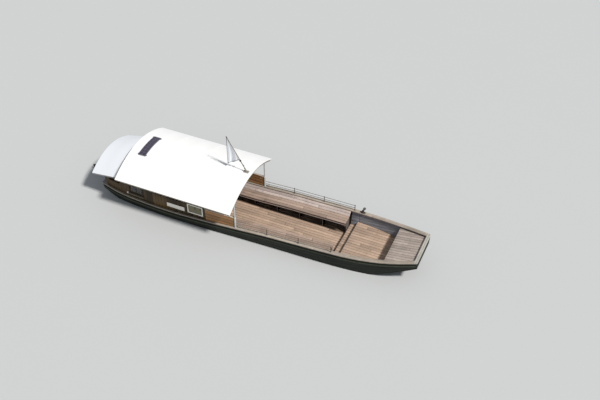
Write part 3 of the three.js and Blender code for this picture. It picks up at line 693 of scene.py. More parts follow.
def worn_paint():
    """Paint with chips down to what is under it"""
    inputs = [("Vector", "Vector"), ("Paint", "Color"), ("Under", "Color")]
    inputs += [("Amount", "Float"), ("Size", "Float")]
    outputs = [("Color", "Color"), ("Mask", "Float"), ("Height", "Float")]

    def fill(tree, take):
        values = {"Vector": take["Vector"], "Scale": take["Size"], "Detail": 7, "Roughness": 0.7}
        chips = node(tree, "TexNoise", values).outputs["Fac"]
        edge = calc(tree, "SUBTRACT", 0.78, calc(tree, "MULTIPLY", take["Amount"], 0.3))
        mask = span(tree, calc(tree, "SUBTRACT", chips, edge), 0, 0.03)
        tone = span(tree, noise(tree, take["Vector"], 1.7, 4), 0.3, 0.7, 0.0, 0.25)
        soft = mixed(tree, tone, take["Paint"], take["Under"])
        return {
            "Color": mixed(tree, mask, soft, take["Under"]),
            "Mask": mask,
            "Height": calc(tree, "SUBTRACT", 1.0, mask),
        }

    return effect("Worn paint", inputs, outputs, fill)


def weave():
    """Plain weave: threads that cross along the first two axes of its vector"""

    def fill(tree, take):
        turns = scaled(tree, take["Vector"], (math.tau, math.tau, math.tau))
        parts = node(tree, "SeparateXYZ", {0: turns}).outputs
        waves = [calc(tree, "SINE", calc(tree, "MULTIPLY", parts[axis], take["Threads"])) for axis in "XY"]
        height = calc(tree, "MULTIPLY_ADD", calc(tree, "MULTIPLY", *waves), 0.5, 0.5)
        return {"Height": height}

    return effect("Weave", [("Vector", "Vector"), ("Threads", "Float")], [("Height", "Float")], fill)


class Finish:
    """A material with its shader, object coordinates and a bump"""

    def __init__(self, name, **plain):
        self.material = bpy.data.materials.new(name)
        self.material.use_nodes = True
        self.tree = self.material.node_tree
        self.shader = self.tree.nodes["Principled BSDF"]
        self.place = node(self.tree, "TexCoord").outputs["Object"]
        for label, value in plain.items():
            self.shader.inputs[label.replace("_", " ")].default_value = value

    def along(self, axis):
        """Object coordinates turned so that the grain's X runs along an axis"""
        turns = {"X": (0, 0, 0), "Y": (0, 0, -math.pi / 2), "Z": (0, math.pi / 2, 0)}
        return node(self.tree, "Mapping", {"Vector": self.place, "Rotation": turns[axis]}).outputs[0]

    def use(self, group, **values):
        made = node(self.tree, "Group", node_tree=group)
        for label, value in values.items():
            if isinstance(value, bpy.types.NodeSocket):
                self.tree.links.new(value, made.inputs[label])
            else:
                made.inputs[label].default_value = value
        return made.outputs

    def feed(self, label, socket):
        self.tree.links.new(socket, self.shader.inputs[label])

    def bump(self, height, strength, distance=0.002):
        values = {"Height": height, "Strength": strength, "Distance": distance}
        self.feed("Normal", node(self.tree, "Bump", values).outputs[0])


def wood(name, pale, deep, axis="X", spread=0.6, grain=1.0, cracks=0.4, dirt=0.35, rough=(0.62, 0.85),
         bump=0.35, coat=0.0, tide=None, eave_shade=None):
    """A finish of sawn boards whose grain runs along an axis"""
    if name in bpy.data.materials:
        return bpy.data.materials[name]
    made = Finish(name)
    made.shader.inputs["Coat Weight"].default_value = coat
    made.shader.inputs["Coat Roughness"].default_value = 0.25
    made.shader.inputs["Specular IOR Level"].default_value = 0.3
    board = node(made.tree, "Attribute", attribute_name="board").outputs["Fac"]
    base = made.use(
        board_wood(), Vector=made.along(axis), Board=board, Pale=opaque(pale), Deep=opaque(deep),
        Spread=spread, Grain=grain, Cracks=cracks,
    )
    grey = opaque(shade(deep, 0.55))
    dirty = made.use(grime(), Vector=made.place, Color=base["Color"], Dirt=grey, Amount=dirt, Size=1.9)
    speckled = made.use(
        grime(), Vector=made.place, Color=dirty["Color"], Dirt=grey, Amount=dirt * 0.8, Size=17.0
    )
    result = speckled["Color"]
    if tide:
        result = made.use(
            tide_line(), Vector=made.place, Color=result, Growth=opaque(tide), Level=WATERLINE
        )["Color"]
    if eave_shade:
        # Painted shade under the eaves, darkening the boards towards the top
        result = made.use(
            painted_eave_shade(), Vector=made.place, Color=result, Dark=opaque(eave_shade), Level=1.38, Amount=0.8
        )["Color"]
    made.feed("Base Color", result)
    made.feed("Roughness", span(made.tree, base["Tone"], 0, 1, rough[1], rough[0]))
    made.bump(base["Height"], bump)
    return made.material


def metal(name, surface, under, wear=0.3, rough=0.45, metallic=0.0, size=14.0):
    """Painted, galvanised or bare iron with rust or dull spots"""
    if name in bpy.data.materials:
        return bpy.data.materials[name]
    made = Finish(name, Metallic=metallic)
    coat = made.use(
        worn_paint(), Vector=made.place, Paint=opaque(surface), Under=opaque(under), Amount=wear, Size=size
    )
    made.feed("Base Color", coat["Color"])
    made.feed("Roughness", span(made.tree, coat["Mask"], 0, 1, rough, 0.85))
    made.bump(coat["Height"], 0.25, 0.0008)
    return made.material


def canvas(name, tint, threads=110.0, dirt=0.12, by_sheet=False, rough=0.78):
    """Coated cloth with its weave and faint water marks"""
    if name in bpy.data.materials:
        return bpy.data.materials[name]
    made = Finish(name)
    place_on = node(made.tree, "TexCoord").outputs["UV"] if by_sheet else made.place
    threads_height = made.use(weave(), Vector=place_on, Threads=threads)["Height"]
    marks_on = made.use(
        grime(), Vector=scaled(made.tree, made.place, (0.6, 2.2, 1.0)), Color=opaque(tint),
        Dirt=opaque(shade(tint, 0.62)), Amount=dirt, Size=1.4,
    )
    faint = span(made.tree, threads_height, 0, 1, 0.0, 0.05)
    made.feed("Base Color", mixed(made.tree, faint, marks_on["Color"], opaque(shade(tint, 0.6))))
    made.feed("Roughness", span(made.tree, marks_on["Mask"], 0, 0.3, rough, 0.9))
    made.bump(threads_height, 0.18, 0.0008)
    return made.material


def glass():
    if "window_glass" in bpy.data.materials:
        return bpy.data.materials["window_glass"]
    made = Finish("window_glass", Transmission_Weight=1.0, IOR=1.45, Specular_IOR_Level=0.2)
    film = made.use(
        grime(), Vector=made.place, Color=(0.55, 0.6, 0.58, 1), Dirt=(0.34, 0.36, 0.33, 1), Amount=0.35,
        Size=5.0
    )
    made.feed("Base Color", film["Color"])
    made.feed("Roughness", span(made.tree, film["Mask"], 0, 0.35, 0.02, 0.16))
    return made.material


def solar_cells(tint):
    if "solar_cells" in bpy.data.materials:
        return bpy.data.materials["solar_cells"]
    made = Finish("solar_cells", Coat_Weight=0.8, Coat_Roughness=0.08, Metallic=0.15)
    parts = node(made.tree, "SeparateXYZ", {0: made.place}).outputs
    lines = calc(made.tree, "FRACT", calc(made.tree, "MULTIPLY", parts["X"], 140.0))
    fingers = span(made.tree, lines, 0.0, 0.14, 1, 0)
    bars = calc(made.tree, "FRACT", calc(made.tree, "MULTIPLY", parts["Y"], 17.0))
    faint = calc(made.tree, "MULTIPLY", fingers, 0.35)
    drawn = calc(made.tree, "MAXIMUM", faint, span(made.tree, bars, 0, 0.03, 0.8, 0))
    crystal = span(made.tree, noise(made.tree, made.place, 60.0, 2), 0.35, 0.65, 0, 1)
    cell = mixed(made.tree, crystal, opaque(shade(tint, 0.75)), opaque(shade(tint, 1.3)))
    made.feed("Base Color", mixed(made.tree, drawn, cell, (0.3, 0.29, 0.33, 1)))
    made.feed("Roughness", span(made.tree, crystal, 0, 1, 0.22, 0.34))
    return made.material


def plain_floor(tint):
    made = Finish("stage_floor")
    soft = span(made.tree, noise(made.tree, made.place, 0.4, 2), 0.3, 0.7, 0.0, 0.05)
    made.feed("Base Color", mixed(made.tree, soft, opaque(tint), opaque(shade(tint, 0.9))))
    made.shader.inputs["Roughness"].default_value = 0.8
    return made.material


def dark_iron():
    return metal("dark_iron", paint(66, 62, 58), paint(104, 66, 44), 0.35, 0.55, 0.5)


def galvanised():
    return metal("galvanised_steel", paint(168, 172, 172), paint(122, 120, 114), 0.3, 0.42, 0.6, 30.0)


def wire_steel():
    return metal("wire_steel", paint(112, 104, 94), paint(84, 74, 66), 0.4, 0.5, 0.3, 60.0)


def rail_iron():
    return metal("rail_iron", paint(92, 82, 70), paint(118, 78, 52), 0.45, 0.6, 0.4, 24.0)


def wall_finish(axis="Z"):
    tints = bpy.context.scene.ferry_colours
    return wood(
        "varnished_boards_" + axis.lower(), tints.wall_gold, tints.wall_dark, axis, 1.0, 0.7, 0.25, 0.3,
        # painted shade under the eaves, darkest at the top of the walls
        (0.45, 0.65), 0.25, 0.08, eave_shade=shade(tints.wall_dark, 0.35),
    )


def wall_edge():
    tints = bpy.context.scene.ferry_colours
    pale, deep = shade(tints.wall_dark, 1.3), shade(tints.wall_dark, 0.6)
    return wood("varnished_edges", pale, deep, "Z", 0.3, 0.6, 0.0, 0.4)


def frame_finish():
    pale, deep = paint(78, 60, 40), paint(44, 34, 23)
    return wood("window_frame_wood", pale, deep, "X", 0.5, 0.8, 0.2, 0.3, (0.4, 0.6), 0.2, 0.08)


def weathered(name, tint, axis="X", spread=0.55, **more):
    return wood(name, shade(tint, 1.22), shade(tint, 0.66), axis, spread, **more)


def worn_edge(name, tint, axis="X"):
    return wood(name, shade(tint, 1.12), shade(tint, 0.7), axis, 0.35, 0.8, 0.0, 0.5, (0.75, 0.9), 0.3)


# The stage


SUN_FROM = Vector((0.595, -0.159, 0.788))
SUN_TINT = (1.0, 0.975, 0.94)
SKY_TINT = (0.86, 0.92, 1.0, 1)
FLOOR_REACH = 45
FLOOR_T = 0.02
HOLE_SCALE = 0.985


class FERRY_OT_stage(Operator):
    """Camera, soft key light, pale floor at the waterline with a hole for the hull"""

    bl_idname = "ferry.stage"
    bl_label = "Stage"

    def execute(self, context):
        made = context.scene.ferry_stage
        camera = bpy.data.objects.new("camera", bpy.data.cameras.new("camera"))
        context.scene.collection.objects.link(camera)
        camera.location = made.eye
        camera.rotation_euler = made.turn
        camera.data.lens = made.lens
        camera.data.sensor_width = 36
        camera.data.clip_end = 400
        context.scene.camera = camera

        key = bpy.data.objects.new("key_light", bpy.data.lights.new("key_light", "SUN"))
        context.scene.collection.objects.link(key)
        key.data.energy = made.sun
        key.data.angle = made.softness
        key.data.color = SUN_TINT
        key.rotation_euler = SUN_FROM.to_track_quat("Z", "Y").to_euler()

        world = bpy.data.worlds.new("fill_light")
        context.scene.world = world
        world.use_nodes = True
        background = world.node_tree.nodes["Background"].inputs
        background["Color"].default_value = SKY_TINT
        background["Strength"].default_value = made.sky
        context.scene.view_settings.view_transform = "Standard"
        context.scene.view_settings.look = "None"

        shell = ("hull_side_port", "hull_side_starboard", "bottom_boards", "bow_board", "stern_board")
        hull = join([copy_of(part, False) for part in shell])
        edit(hull, "VERT", "SELECT")
        bpy.ops.mesh.convex_hull()
        done()
        hull.scale = (HOLE_SCALE, HOLE_SCALE, 1)
        place(hull)
        corner = (FLOOR_REACH, FLOOR_REACH, WATERLINE)
        floor = block((-FLOOR_REACH, -FLOOR_REACH, WATERLINE - FLOOR_T), corner)
        modify(floor, "BOOLEAN", operation="DIFFERENCE", object=hull, solver="EXACT")
        bpy.data.objects.remove(hull)
        floor.name = floor.data.name = "stage_floor"
        floor.data.materials.clear()
        floor.data.materials.append(plain_floor(made.floor))
        return {"FINISHED"}


# Hull


HULL_BOARD_LENGTH = 3.4
END_BOARD_SEAMS = (("bow", 1.16), ("stern", 0.745))
STRAKE_JOINTS = (-2.35, 0.9, 3.7)
STRAKE_BOLTS = [-4.9 + 0.415 * k for k in range(27)]
STRAKE_DEPTH = 0.17
STRAKE_OUT = 0.0215

# Columns: start, end and foot of the boards inside the foredeck
LININGS = ((3.41, 3.678, 0.477), (3.68, 5.13, 0.6415))
LINING_T = 0.012
HELM_RIBS = (-3.72, -4.1)
HELM_TOP = 0.421

CAP_BOLTS = [-4.8 + 0.306 * k for k in range(36)]
CAP_BOLT_INSETS = (0.024, 0.094)
END_RIM_SEAMS = (("bow", 6.142), ("stern", -5.03))
END_RIM_BOLTS = (6.113, 6.17, -5.065, -4.995)


def hull_finish():
    tints = bpy.context.scene.ferry_colours
    return weathered("tarred_planks", tints.hull, cracks=0.3, dirt=0.5, tide=paint(32, 36, 27))


class FERRY_OT_hull(Operator):
    """Planked sides, bottom and end boards of the hull"""

    bl_idname = "ferry.hull"
    bl_label = "Hull planks"

    def execute(self, context):
        boards = context.scene.ferry_boards
        edge = worn_edge("tarred_edges", shade(context.scene.ferry_colours.hull, 0.8))
        for name, side in SIDES:
            source = f"hull_side_{name}"
            sheet = skin(source, lambda face: side * face.normal.y > 0.7)
            parts = []
            for k, strake in enumerate(strakes(sheet, boards.strake_count, lambda point: point.z)):
                parts += split(strake, X, staggered(k, -5.05, 6.15, HULL_BOARD_LENGTH), 0.002, False)
            build(f"side_planks_{name}", parts, hull_finish(), edge, 0.004, 0.039, [source])
        low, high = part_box("bottom_boards")
        planks = split(copy_of("bottom_boards", False), Y, marks(low.y, high.y, 0.24), 0.003)
        build("bottom_planks", planks, hull_finish(), edge, 0.003, 0, ["bottom_boards"])
        for end, height in END_BOARD_SEAMS:
            planks = split(copy_of(f"{end}_board"), Z, [height], 0.003)
            build(f"{end}_planks", planks, hull_finish(), edge, 0.004, 0, [f"{end}_board"])
        return {"FINISHED"}


class FERRY_OT_strakes(Operator):
    """Rub strakes with rounded edges and bolts along both sides"""

    bl_idname = "ferry.rub_strakes"
    bl_label = "Rub strakes"

    def execute(self, context):
        tint = context.scene.ferry_colours.strake
        for name, side in SIDES:
            source = f"rub_strake_{name}"
            parts = split(copy_of(source, False), X, STRAKE_JOINTS, 0.003)
            finish = weathered("strake_boards", tint)
            edge = worn_edge("strake_edges", tint)
            build(f"rub_boards_{name}", parts, finish, edge, 0.007, 0, [source])
            places = []
            for x in STRAKE_BOLTS:
                z = rim(x)[1] - STRAKE_DEPTH
                places.append((Vector((x, side * (hull_half(x, z) + STRAKE_OUT), z)), Y * side))
            bolts(f"strake_bolts_{name}", 0.013, 0.006, places, dark_iron())
        return {"FINISHED"}


class FERRY_OT_frames(Operator):
    """Lining boards inside the foredeck, and upright ribs at the helm"""

    bl_idname = "ferry.frames"
    bl_label = "Ribs and lining"

    def execute(self, context):
        tint = context.scene.ferry_colours.lining
        boards = weathered("lining_boards", tint, spread=0.3, cracks=0.3)
        upright = weathered("rib_wood", tint, "Z")
        for name, side in SIDES:
            source = f"hull_side_{name}"
            lining = []
            for start, end, foot in LININGS:
                sheet = skin(source, lambda face: side * face.normal.y < -0.7)
                trim(sheet, X * end, X, False)
                trim(sheet, X * start, -X, False)
                sheet.location.y = -side * (LINING_T + 0.002)
                for board in strakes(place(sheet), 7, lambda point: point.z):
                    trim(board, Z * foot, -Z, False)
                    if board.data.polygons:
                        lining.append(narrow(board, 0.002))
                    else:
                        bpy.data.objects.remove(board)
            edge = worn_edge("lining_edges", shade(tint, 0.6))
            build(f"foredeck_lining_{name}", lining, boards, edge, 0.002, LINING_T)

            ribs = []
            for x in HELM_RIBS:
                rib = copy_of(source)
                trim(rib, X * (x + 0.03), X)
                trim(rib, X * (x - 0.03), -X)
                trim(rib, Z * HELM_TOP, -Z)
                trim(rib, Z * (rim(x)[1] - CAP_T - 0.012), Z)
                rib.location.y = -side * (SIDE_T + 0.001)
                ribs.append(place(rib))
            build(f"ribs_{name}", ribs, upright, worn_edge("rib_edges", tint, "Z"), 0.005)
        return {"FINISHED"}


class FERRY_OT_gunwales(Operator):
    """Gunwale caps of two planks each, with end rims and bolts"""

    bl_idname = "ferry.gunwales"
    bl_label = "Gunwales"

    def execute(self, context):
        tint = context.scene.ferry_colours.rim
        finish, edge = weathered("rim_boards", tint), worn_edge("rim_edges", tint)
        for name, side in SIDES:
            source = f"gunwale_{name}"
            parts = []
            for k, plank in enumerate(strakes(skin(source, faces_up), 2, lambda point: abs(point.y))):
                parts += split(plank, X, staggered(k + 1, -4.96, 6.02, 3.1), 0.003, False)
            build(f"gunwale_planks_{name}", parts, finish, edge, 0.006, CAP_T, [source])
            places = []
            for x in CAP_BOLTS:
                half, z = rim(x)
                for inset in CAP_BOLT_INSETS:
                    under_wall = x < 0.2 and inset > WALL_INSET
                    if not under_wall:
                        places.append((Vector((x + inset, side * (half - inset), z - 0.001)), Z))
            bolts(f"gunwale_bolts_{name}", 0.009, 0.004, places)
        tint = context.scene.ferry_colours.end_rim
        finish, edge = weathered("end_rim_boards", tint, "Y"), worn_edge("end_rim_edges", tint, "Y")
        for end, x in END_RIM_SEAMS:
            planks = split(copy_of(f"{end}_rim"), X, [x], 0.004)
            build(f"{end}_rim_planks", planks, finish, edge, 0.007, 0, [f"{end}_rim"])
        places = []
        for x in END_RIM_BOLTS:
            half, z = rim(x)
            for part in (-0.93, -0.5, -0.05, 0.05, 0.5, 0.93):
                places.append((Vector((x, half * part, z - 0.001)), Z))
        bolts("end_rim_bolts", 0.009, 0.004, places)
        return {"FINISHED"}


# Floors


# Columns: name, top's depth below the rim where it follows the rim, greyer boards
FLOORS = (
    ("cabin_floor", None, False),
    ("well_floor", None, False),
    ("entry_step", None, False),
    ("boarding_deck", None, False),
    ("bow_deck", 0.09, True),
    ("helm_floor", None, False),
    ("stern_deck", 0.036, True),
)


def floor_top(name, drop, x):
    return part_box(name)[1].z if drop is None else rim(x)[1] - drop


class FERRY_OT_floors(Operator):
    """Floors of lengthwise boards with their bearers, risers and nails"""

    bl_idname = "ferry.floors"
    bl_label = "Floors"

    def execute(self, context):
        boards, tints = context.scene.ferry_boards, context.scene.ferry_colours
        under, nails = [], []
        for name, drop, grey in FLOORS:
            low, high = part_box(name)
            sheet = skin(name, faces_up, True)
            cuts = marks(low.y, high.y, boards.deck_board)
            parts = []
            for k, board in enumerate(split(sheet, Y, cuts, boards.deck_gap, False)):
                joints = staggered(k * 3 + len(name), low.x, high.x, boards.board_length)
                parts += split(board, X, joints, 0.004, False)
            tint = tints.bow_deck if grey else tints.deck
            finish = weathered("bow_deck_boards" if grey else "deck_boards", tint, cracks=0.55)
            edge = worn_edge("bow_deck_edges" if grey else "deck_edges", shade(tint, 0.5))
            if name in ("well_floor", "cabin_floor"):
                # The boards under the benches are near black: painted shade that stands for the shadow
                # under the seats
                def is_under_bench(part):
                    points = [vertex.co.y for vertex in part.data.vertices]
                    return abs(sum(points)) > 0.66 * len(points)

                hidden = [part for part in parts if is_under_bench(part)]
                parts = [part for part in parts if part not in hidden]
                dark = weathered("unwalked_boards", shade(tint, 0.3), cracks=0.4)
                build(f"{name}_side_boards", hidden, dark, dark, 0.003, BOARD_T)
            build(f"{name}_boards", parts, finish, edge, 0.003, BOARD_T, [name])

            below = copy_of(name)
            lowest = min(floor_top(name, drop, x) for x in (low.x, high.x))
            under.append(trim(below, Z * (lowest - BOARD_T - 0.001), Z))

            rows = max(round((high.x - low.x - 0.08) / 0.6), 1)
            lines = [low.x + 0.04 + (high.x - low.x - 0.08) * k / rows for k in range(rows + 1)]
            sides = [low.y, *cuts, high.y]
            for x in lines:
                z = floor_top(name, drop, x)
                reach = hull_half(x, z) - SIDE_T - FLOOR_SIDE_GAP - 0.02
                middles = [(a + b) / 2 for a, b in zip(sides, sides[1:])]
                places = [y + off for y in middles for off in (-0.03, 0.03) if abs(y + off) < reach]
                nails += [(Vector((x, y, z)), Z) for y in places]
        finish = weathered("bearer_wood", shade(tints.deck, 0.8), "Y")
        edge = worn_edge("bearer_edges", tints.deck, "Y")
        build("floor_bearers", under, finish, edge, 0.003)
        ironwork("floor_nails", [repeated(nail_head(), nails)], dark_iron())
        return {"FINISHED"}


# Seats


# Columns: name, ends, top below the rim or its height, inset, depth, number of spaces between legs
SEATS = (
    ("bench_seat", -0.9, 3.38, SEAT_DROP, None, 0.255, 0.36, 5),
    ("cabin_bench", -3.37, -1.01, None, 0.73, 0.135, 0.36, 3),
)


class FERRY_OT_benches(Operator):
    """Slatted benches on legs, with aprons and backs"""

    bl_idname = "ferry.benches"
    bl_label = "Benches"

    def execute(self, context):
        boards, tints = context.scene.ferry_boards, context.scene.ferry_colours
        slat = weathered("seat_boards", tints.seat, spread=0.8, cracks=0.35)
        slat_edge = worn_edge("seat_edges", shade(tints.seat, 0.8))
        plain = weathered("edging_boards", shade(tints.back, 1.1), spread=0.5)
        plain_edge = worn_edge("edging_edges", shade(tints.back, 1.15))
        # Near-black finish of the legs and of the upper apron boards: painted shade under the seats
        upright = weathered("leg_boards", shade(tints.back, 0.25), "Z")
        for kind, start, end, drop, level, inset, depth, spaces in SEATS:
            def top(x):
                return level if drop is None else rim(x)[1] - drop

            for name, side in SIDES:
                source = f"{kind}_{name}"
                sheet = skin(source, faces_up)
                parts = []
                for k, board in enumerate(strakes(sheet, boards.slat_count, lambda point: abs(point.y))):
                    for piece in split(board, X, staggered(k + 2, start, end, 2.3), 0.001, False):
                        parts.append(narrow(piece, boards.slat_gap / 2))
                build(f"{kind}_slats_{name}", parts, slat, slat_edge, 0.004, SEAT_T, [source])

                def is_apron(face):
                    x, y, _ = face.calc_center_median()
                    off_line = abs(side * y - (rim(x)[0] - inset - depth + 0.01))
                    return side * face.normal.y < -0.7 and off_line < 0.004

                upper, lower = strakes(skin(source, is_apron), 2, lambda point: -point.z)
                upper, lower = [narrow(upper, 0.001)], [narrow(lower, 0.001)]
                # The upper apron board takes the near-black finish: painted shade under the seat's edge
                build(f"{kind}_apron_{name}", upper, upright, upright, 0.003, 0.012)
                build(f"{kind}_edging_{name}", lower, plain, plain_edge, 0.003, 0.0195)

                legs = []
                for k in range(spaces + 1):
                    x = start + (end - 0.03 - start) * k / spaces
                    leg = copy_of(source)
                    trim(leg, X * (x + 0.0299), X)
                    trim(leg, X * (x + 0.0001), -X)
                    trim(leg, Z * (min(top(x), top(x + 0.03)) - SEAT_T - 0.001), Z)
                    front = rim(x)[0] - inset - depth + 0.111
                    legs.append(trim(leg, Y * side * front, -Y * side))
                # Dark edges of the legs, part of their painted shade
                edge = worn_edge("leg_edges", shade(tints.back, 0.4), "Z")
                build(f"{kind}_legs_{name}", legs, upright, edge, 0.004)

        back = weathered("back_boards", tints.back, spread=0.6)
        for name, side in SIDES:
            source = f"bench_back_{name}"
            sheet = skin(source, lambda face: side * face.normal.y < -0.4 and face.normal.z > 0.4)
            parts = []
            for k, board in enumerate(strakes(sheet, 2, lambda point: point.z)):
                pieces = split(board, X, staggered(k, -0.9, 3.38, 2.4), 0.001, False)
                parts += [narrow(piece, 0.003) for piece in pieces]
            edge = worn_edge("back_edges", tints.back)
            build(f"bench_back_boards_{name}", parts, back, edge, 0.003, 0.0175, [source])
        return {"FINISHED"}


# Cabin


def wall_face(x):
    """Half width of the cabin wall's outer face at x"""
    return rim(x)[0] - WALL_INSET


def outward_at(x0, x1, side):
    """Level direction that the cabin wall faces between x0 and x1"""
    slope = (wall_face(x1) - wall_face(x0)) / (x1 - x0)
    return Vector((-slope, side, 0)).normalized()


def window_parts(width, height, wall, bars=1):
    """Lining, sash and glazing bars, and the pane, round the origin"""
    timber = [ring_frame(width - 0.001, height - 0.001, wall + 0.018, 0.026)]
    inner_w, inner_h = width - 0.055, height - 0.055
    timber.append(ring_frame(inner_w, inner_h, 0.026, 0.03))
    for k in range(bars):
        x = inner_w * ((k + 1) / (bars + 1) - 0.5)
        half_h = inner_h / 2 - 0.0305
        timber.append(block((x - 0.012, -0.011, -half_h), (x + 0.012, 0.011, half_h)))
    half = Vector((inner_w / 2 - 0.0305, 0.003, inner_h / 2 - 0.0305))
    pane = block(-half, half)
    edit(pane)
    choose(pane, lambda face: abs(face.normal.y) > 0.9)
    bpy.ops.mesh.inset(thickness=0.012, use_even_offset=True)
    done()
    edit(pane)
    choose(pane, lambda face: abs(face.normal.y) > 0.9 and face.calc_area() > 0.02)
    bpy.ops.transform.resize(value=(1, 0.8, 1))
    done()
    return timber, [pane]


def sill(width, height, reach):
    """A sloped sill board below a window, round the window's middle"""
    corner = (width / 2 + 0.03, -0.0005, -height / 2 - 0.006)
    board = block((-width / 2 - 0.03, -reach, -height / 2 - 0.034), corner)
    return trim(board, (0, -reach / 2, -height / 2 - 0.012), (0, -0.18, 1))


# Columns: aft edge, sill, on the starboard side too
WINDOWS = (
    (-3.9, 0.945, True),
    (-3.13, 1.36, True),
    (-2.36, 1.36, True),
    (-1.59, 1.36, False),
)
WINDOW_WIDTH = 0.56
WINDOW_HEAD = 1.72
STERN_WINDOW = (-4.69, -4.3, 1.23, 1.4)

# The opening in the leaning rear wall, which the tiller passes through
REAR_WALL_X = -4.86
REAR_WALL_LEAN = 0.25
REAR_OPENING = (1.118, 0.985, 1.33)
REAR_MIDDLE = 1.1575

VENT_X = -3.955
VENT_Z = 0.94

# The pale boards of the starboard wall, and where the stern's even tone starts
PALE_BOARDS = (-2.95, -2.4)
STERN_TONE_X = -3.93

# The bulkhead's front face, its windows and its trims
BULKHEAD_FACE = -0.9395
PANE_FRAME = (0.459, 0.729)
PANE_HEIGHT = 1.415
BULKHEAD_PANE_Y = 0.7
JAMB = (0.3595, 0.4295)
JAMB_HEAD = 2.065
STOP = (0.338, 0.392)
STOP_T = 0.014
STOP_HEAD = 2.036

# The door's pin and the heights of its ledges and hinges
DOOR_PIN = (-0.935, 0.352)
DOOR_LEDGES = (0.42, 0.92)
LEDGE_T = 0.016
DOOR_HINGES = (0.46, 1.15, 1.86)
KNOB_AT = (-0.285, 1.12)


def wall_tones(side, parts):
    """Tone of each vertical board, with the pale ones of the starboard wall where they show"""
    tones = []
    for k, part in enumerate(parts):
        xs = [vertex.co.x for vertex in part.data.vertices]
        x = (min(xs) + max(xs)) / 2
        tone = 0.12 + 0.36 * ((k * 0.618 + 0.2) % 1)
        if side < 0 and PALE_BOARDS[0] < x < PALE_BOARDS[1]:
            tone = 0.72 + 0.3 * ((k * 0.618) % 1)
        elif side < 0 and x < STERN_TONE_X:
            tone = 0.55
        tones.append(tone)
    return tones


class FERRY_OT_cabin(Operator):
    """Cabin walls of vertical boards with their windows"""

    bl_idname = "ferry.cabin"
    bl_label = "Cabin walls"

    def execute(self, context):
        boards = context.scene.ferry_boards
        timber, panes, pale_sills = [], [], []
        for name, side in SIDES:
            for wall in ("cabin_side", "stern_side"):
                source = f"{wall}_{name}"
                low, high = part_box(source)
                parts = split(copy_of(source), X, marks(low.x, high.x, boards.wall_board), boards.wall_gap)
                tones = wall_tones(side, parts)
                build(
                    f"{source}_boards", parts, wall_finish(), wall_edge(), 0.003, 0, [source],
                    tones=tones
                )
            openings = [(x, x + WINDOW_WIDTH, z, WINDOW_HEAD) for x, z, both in WINDOWS if side > 0 or both]
            for x0, x1, z0, z1 in [*openings, STERN_WINDOW]:
                outward = outward_at(x0, x1, side)
                face = wall_face((x0 + x1) / 2) - WALL_T / 2
                centre = ((x0 + x1) / 2, side * face, (z0 + z1) / 2)
                width, height = x1 - x0, z1 - z0
                bars = 1 if width > 0.5 else 0
                wood_parts, glass_parts = window_parts(width - 0.002, height, WALL_T, bars)
                timber += set_in(wood_parts, centre, outward)
                panes += set_in(glass_parts, centre, outward)
                below = [sill(width, height, 0.045)]
                shows_pale = side < 0 and x0 == WINDOWS[0][0]
                sills = pale_sills if shows_pale else timber
                sills.extend(set_in(below, Vector(centre) + outward * WALL_T / 2, outward))

        low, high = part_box("rear_wall")
        parts = split(copy_of("rear_wall"), Y, marks(low.y, high.y, boards.wall_board), boards.wall_gap)
        build("rear_wall_boards", parts, wall_finish(), wall_edge(), 0.003, 0, ["rear_wall"])
        outward, up = Vector((-1, 0, -REAR_WALL_LEAN)), Vector((-REAR_WALL_LEAN, 0, 1))
        width, opening_foot, opening_head = REAR_OPENING
        height = (opening_head - opening_foot) * math.hypot(1, REAR_WALL_LEAN) - 0.012
        foot = rim(REAR_WALL_X)[1] - CAP_T + 0.001
        middle_x = REAR_WALL_X + WALL_T / 2 - REAR_WALL_LEAN * (REAR_MIDDLE - foot)
        ring = ring_frame(width, height, WALL_T + 0.015, 0.024)
        timber += set_in([ring], Vector((middle_x, 0, REAR_MIDDLE)), outward, up)

        finish = frame_finish()
        edge = worn_edge("frame_edges", paint(88, 70, 48))
        build("window_frames", timber, finish, edge, 0.003)
        build("window_panes", panes, glass(), bevel=0)
        pale = wood("sill_paint", paint(170, 164, 142), paint(126, 118, 98), "X", 0.3, 0.5, 0.2, 0.4)
        build("pale_sill", pale_sills, pale, None, 0.003)

        cap = [(0, 0), (0.03, 0), (0.03, 0.012), (0.022, 0.016), (0.022, 0.03)]
        cap += [(0.036, 0.032), (0.034, 0.042), (0, 0.05)]
        outward = outward_at(VENT_X - 0.05, VENT_X + 0.05, -1)
        vent = turned(cap, (VENT_X, -wall_face(VENT_X) + 0.001, VENT_Z), outward, 18)
        vent_paint = metal("vent_paint", paint(232, 232, 226), paint(150, 146, 138))
        build("wall_vent", [vent], vent_paint, bevel=0)
        return {"FINISHED"}


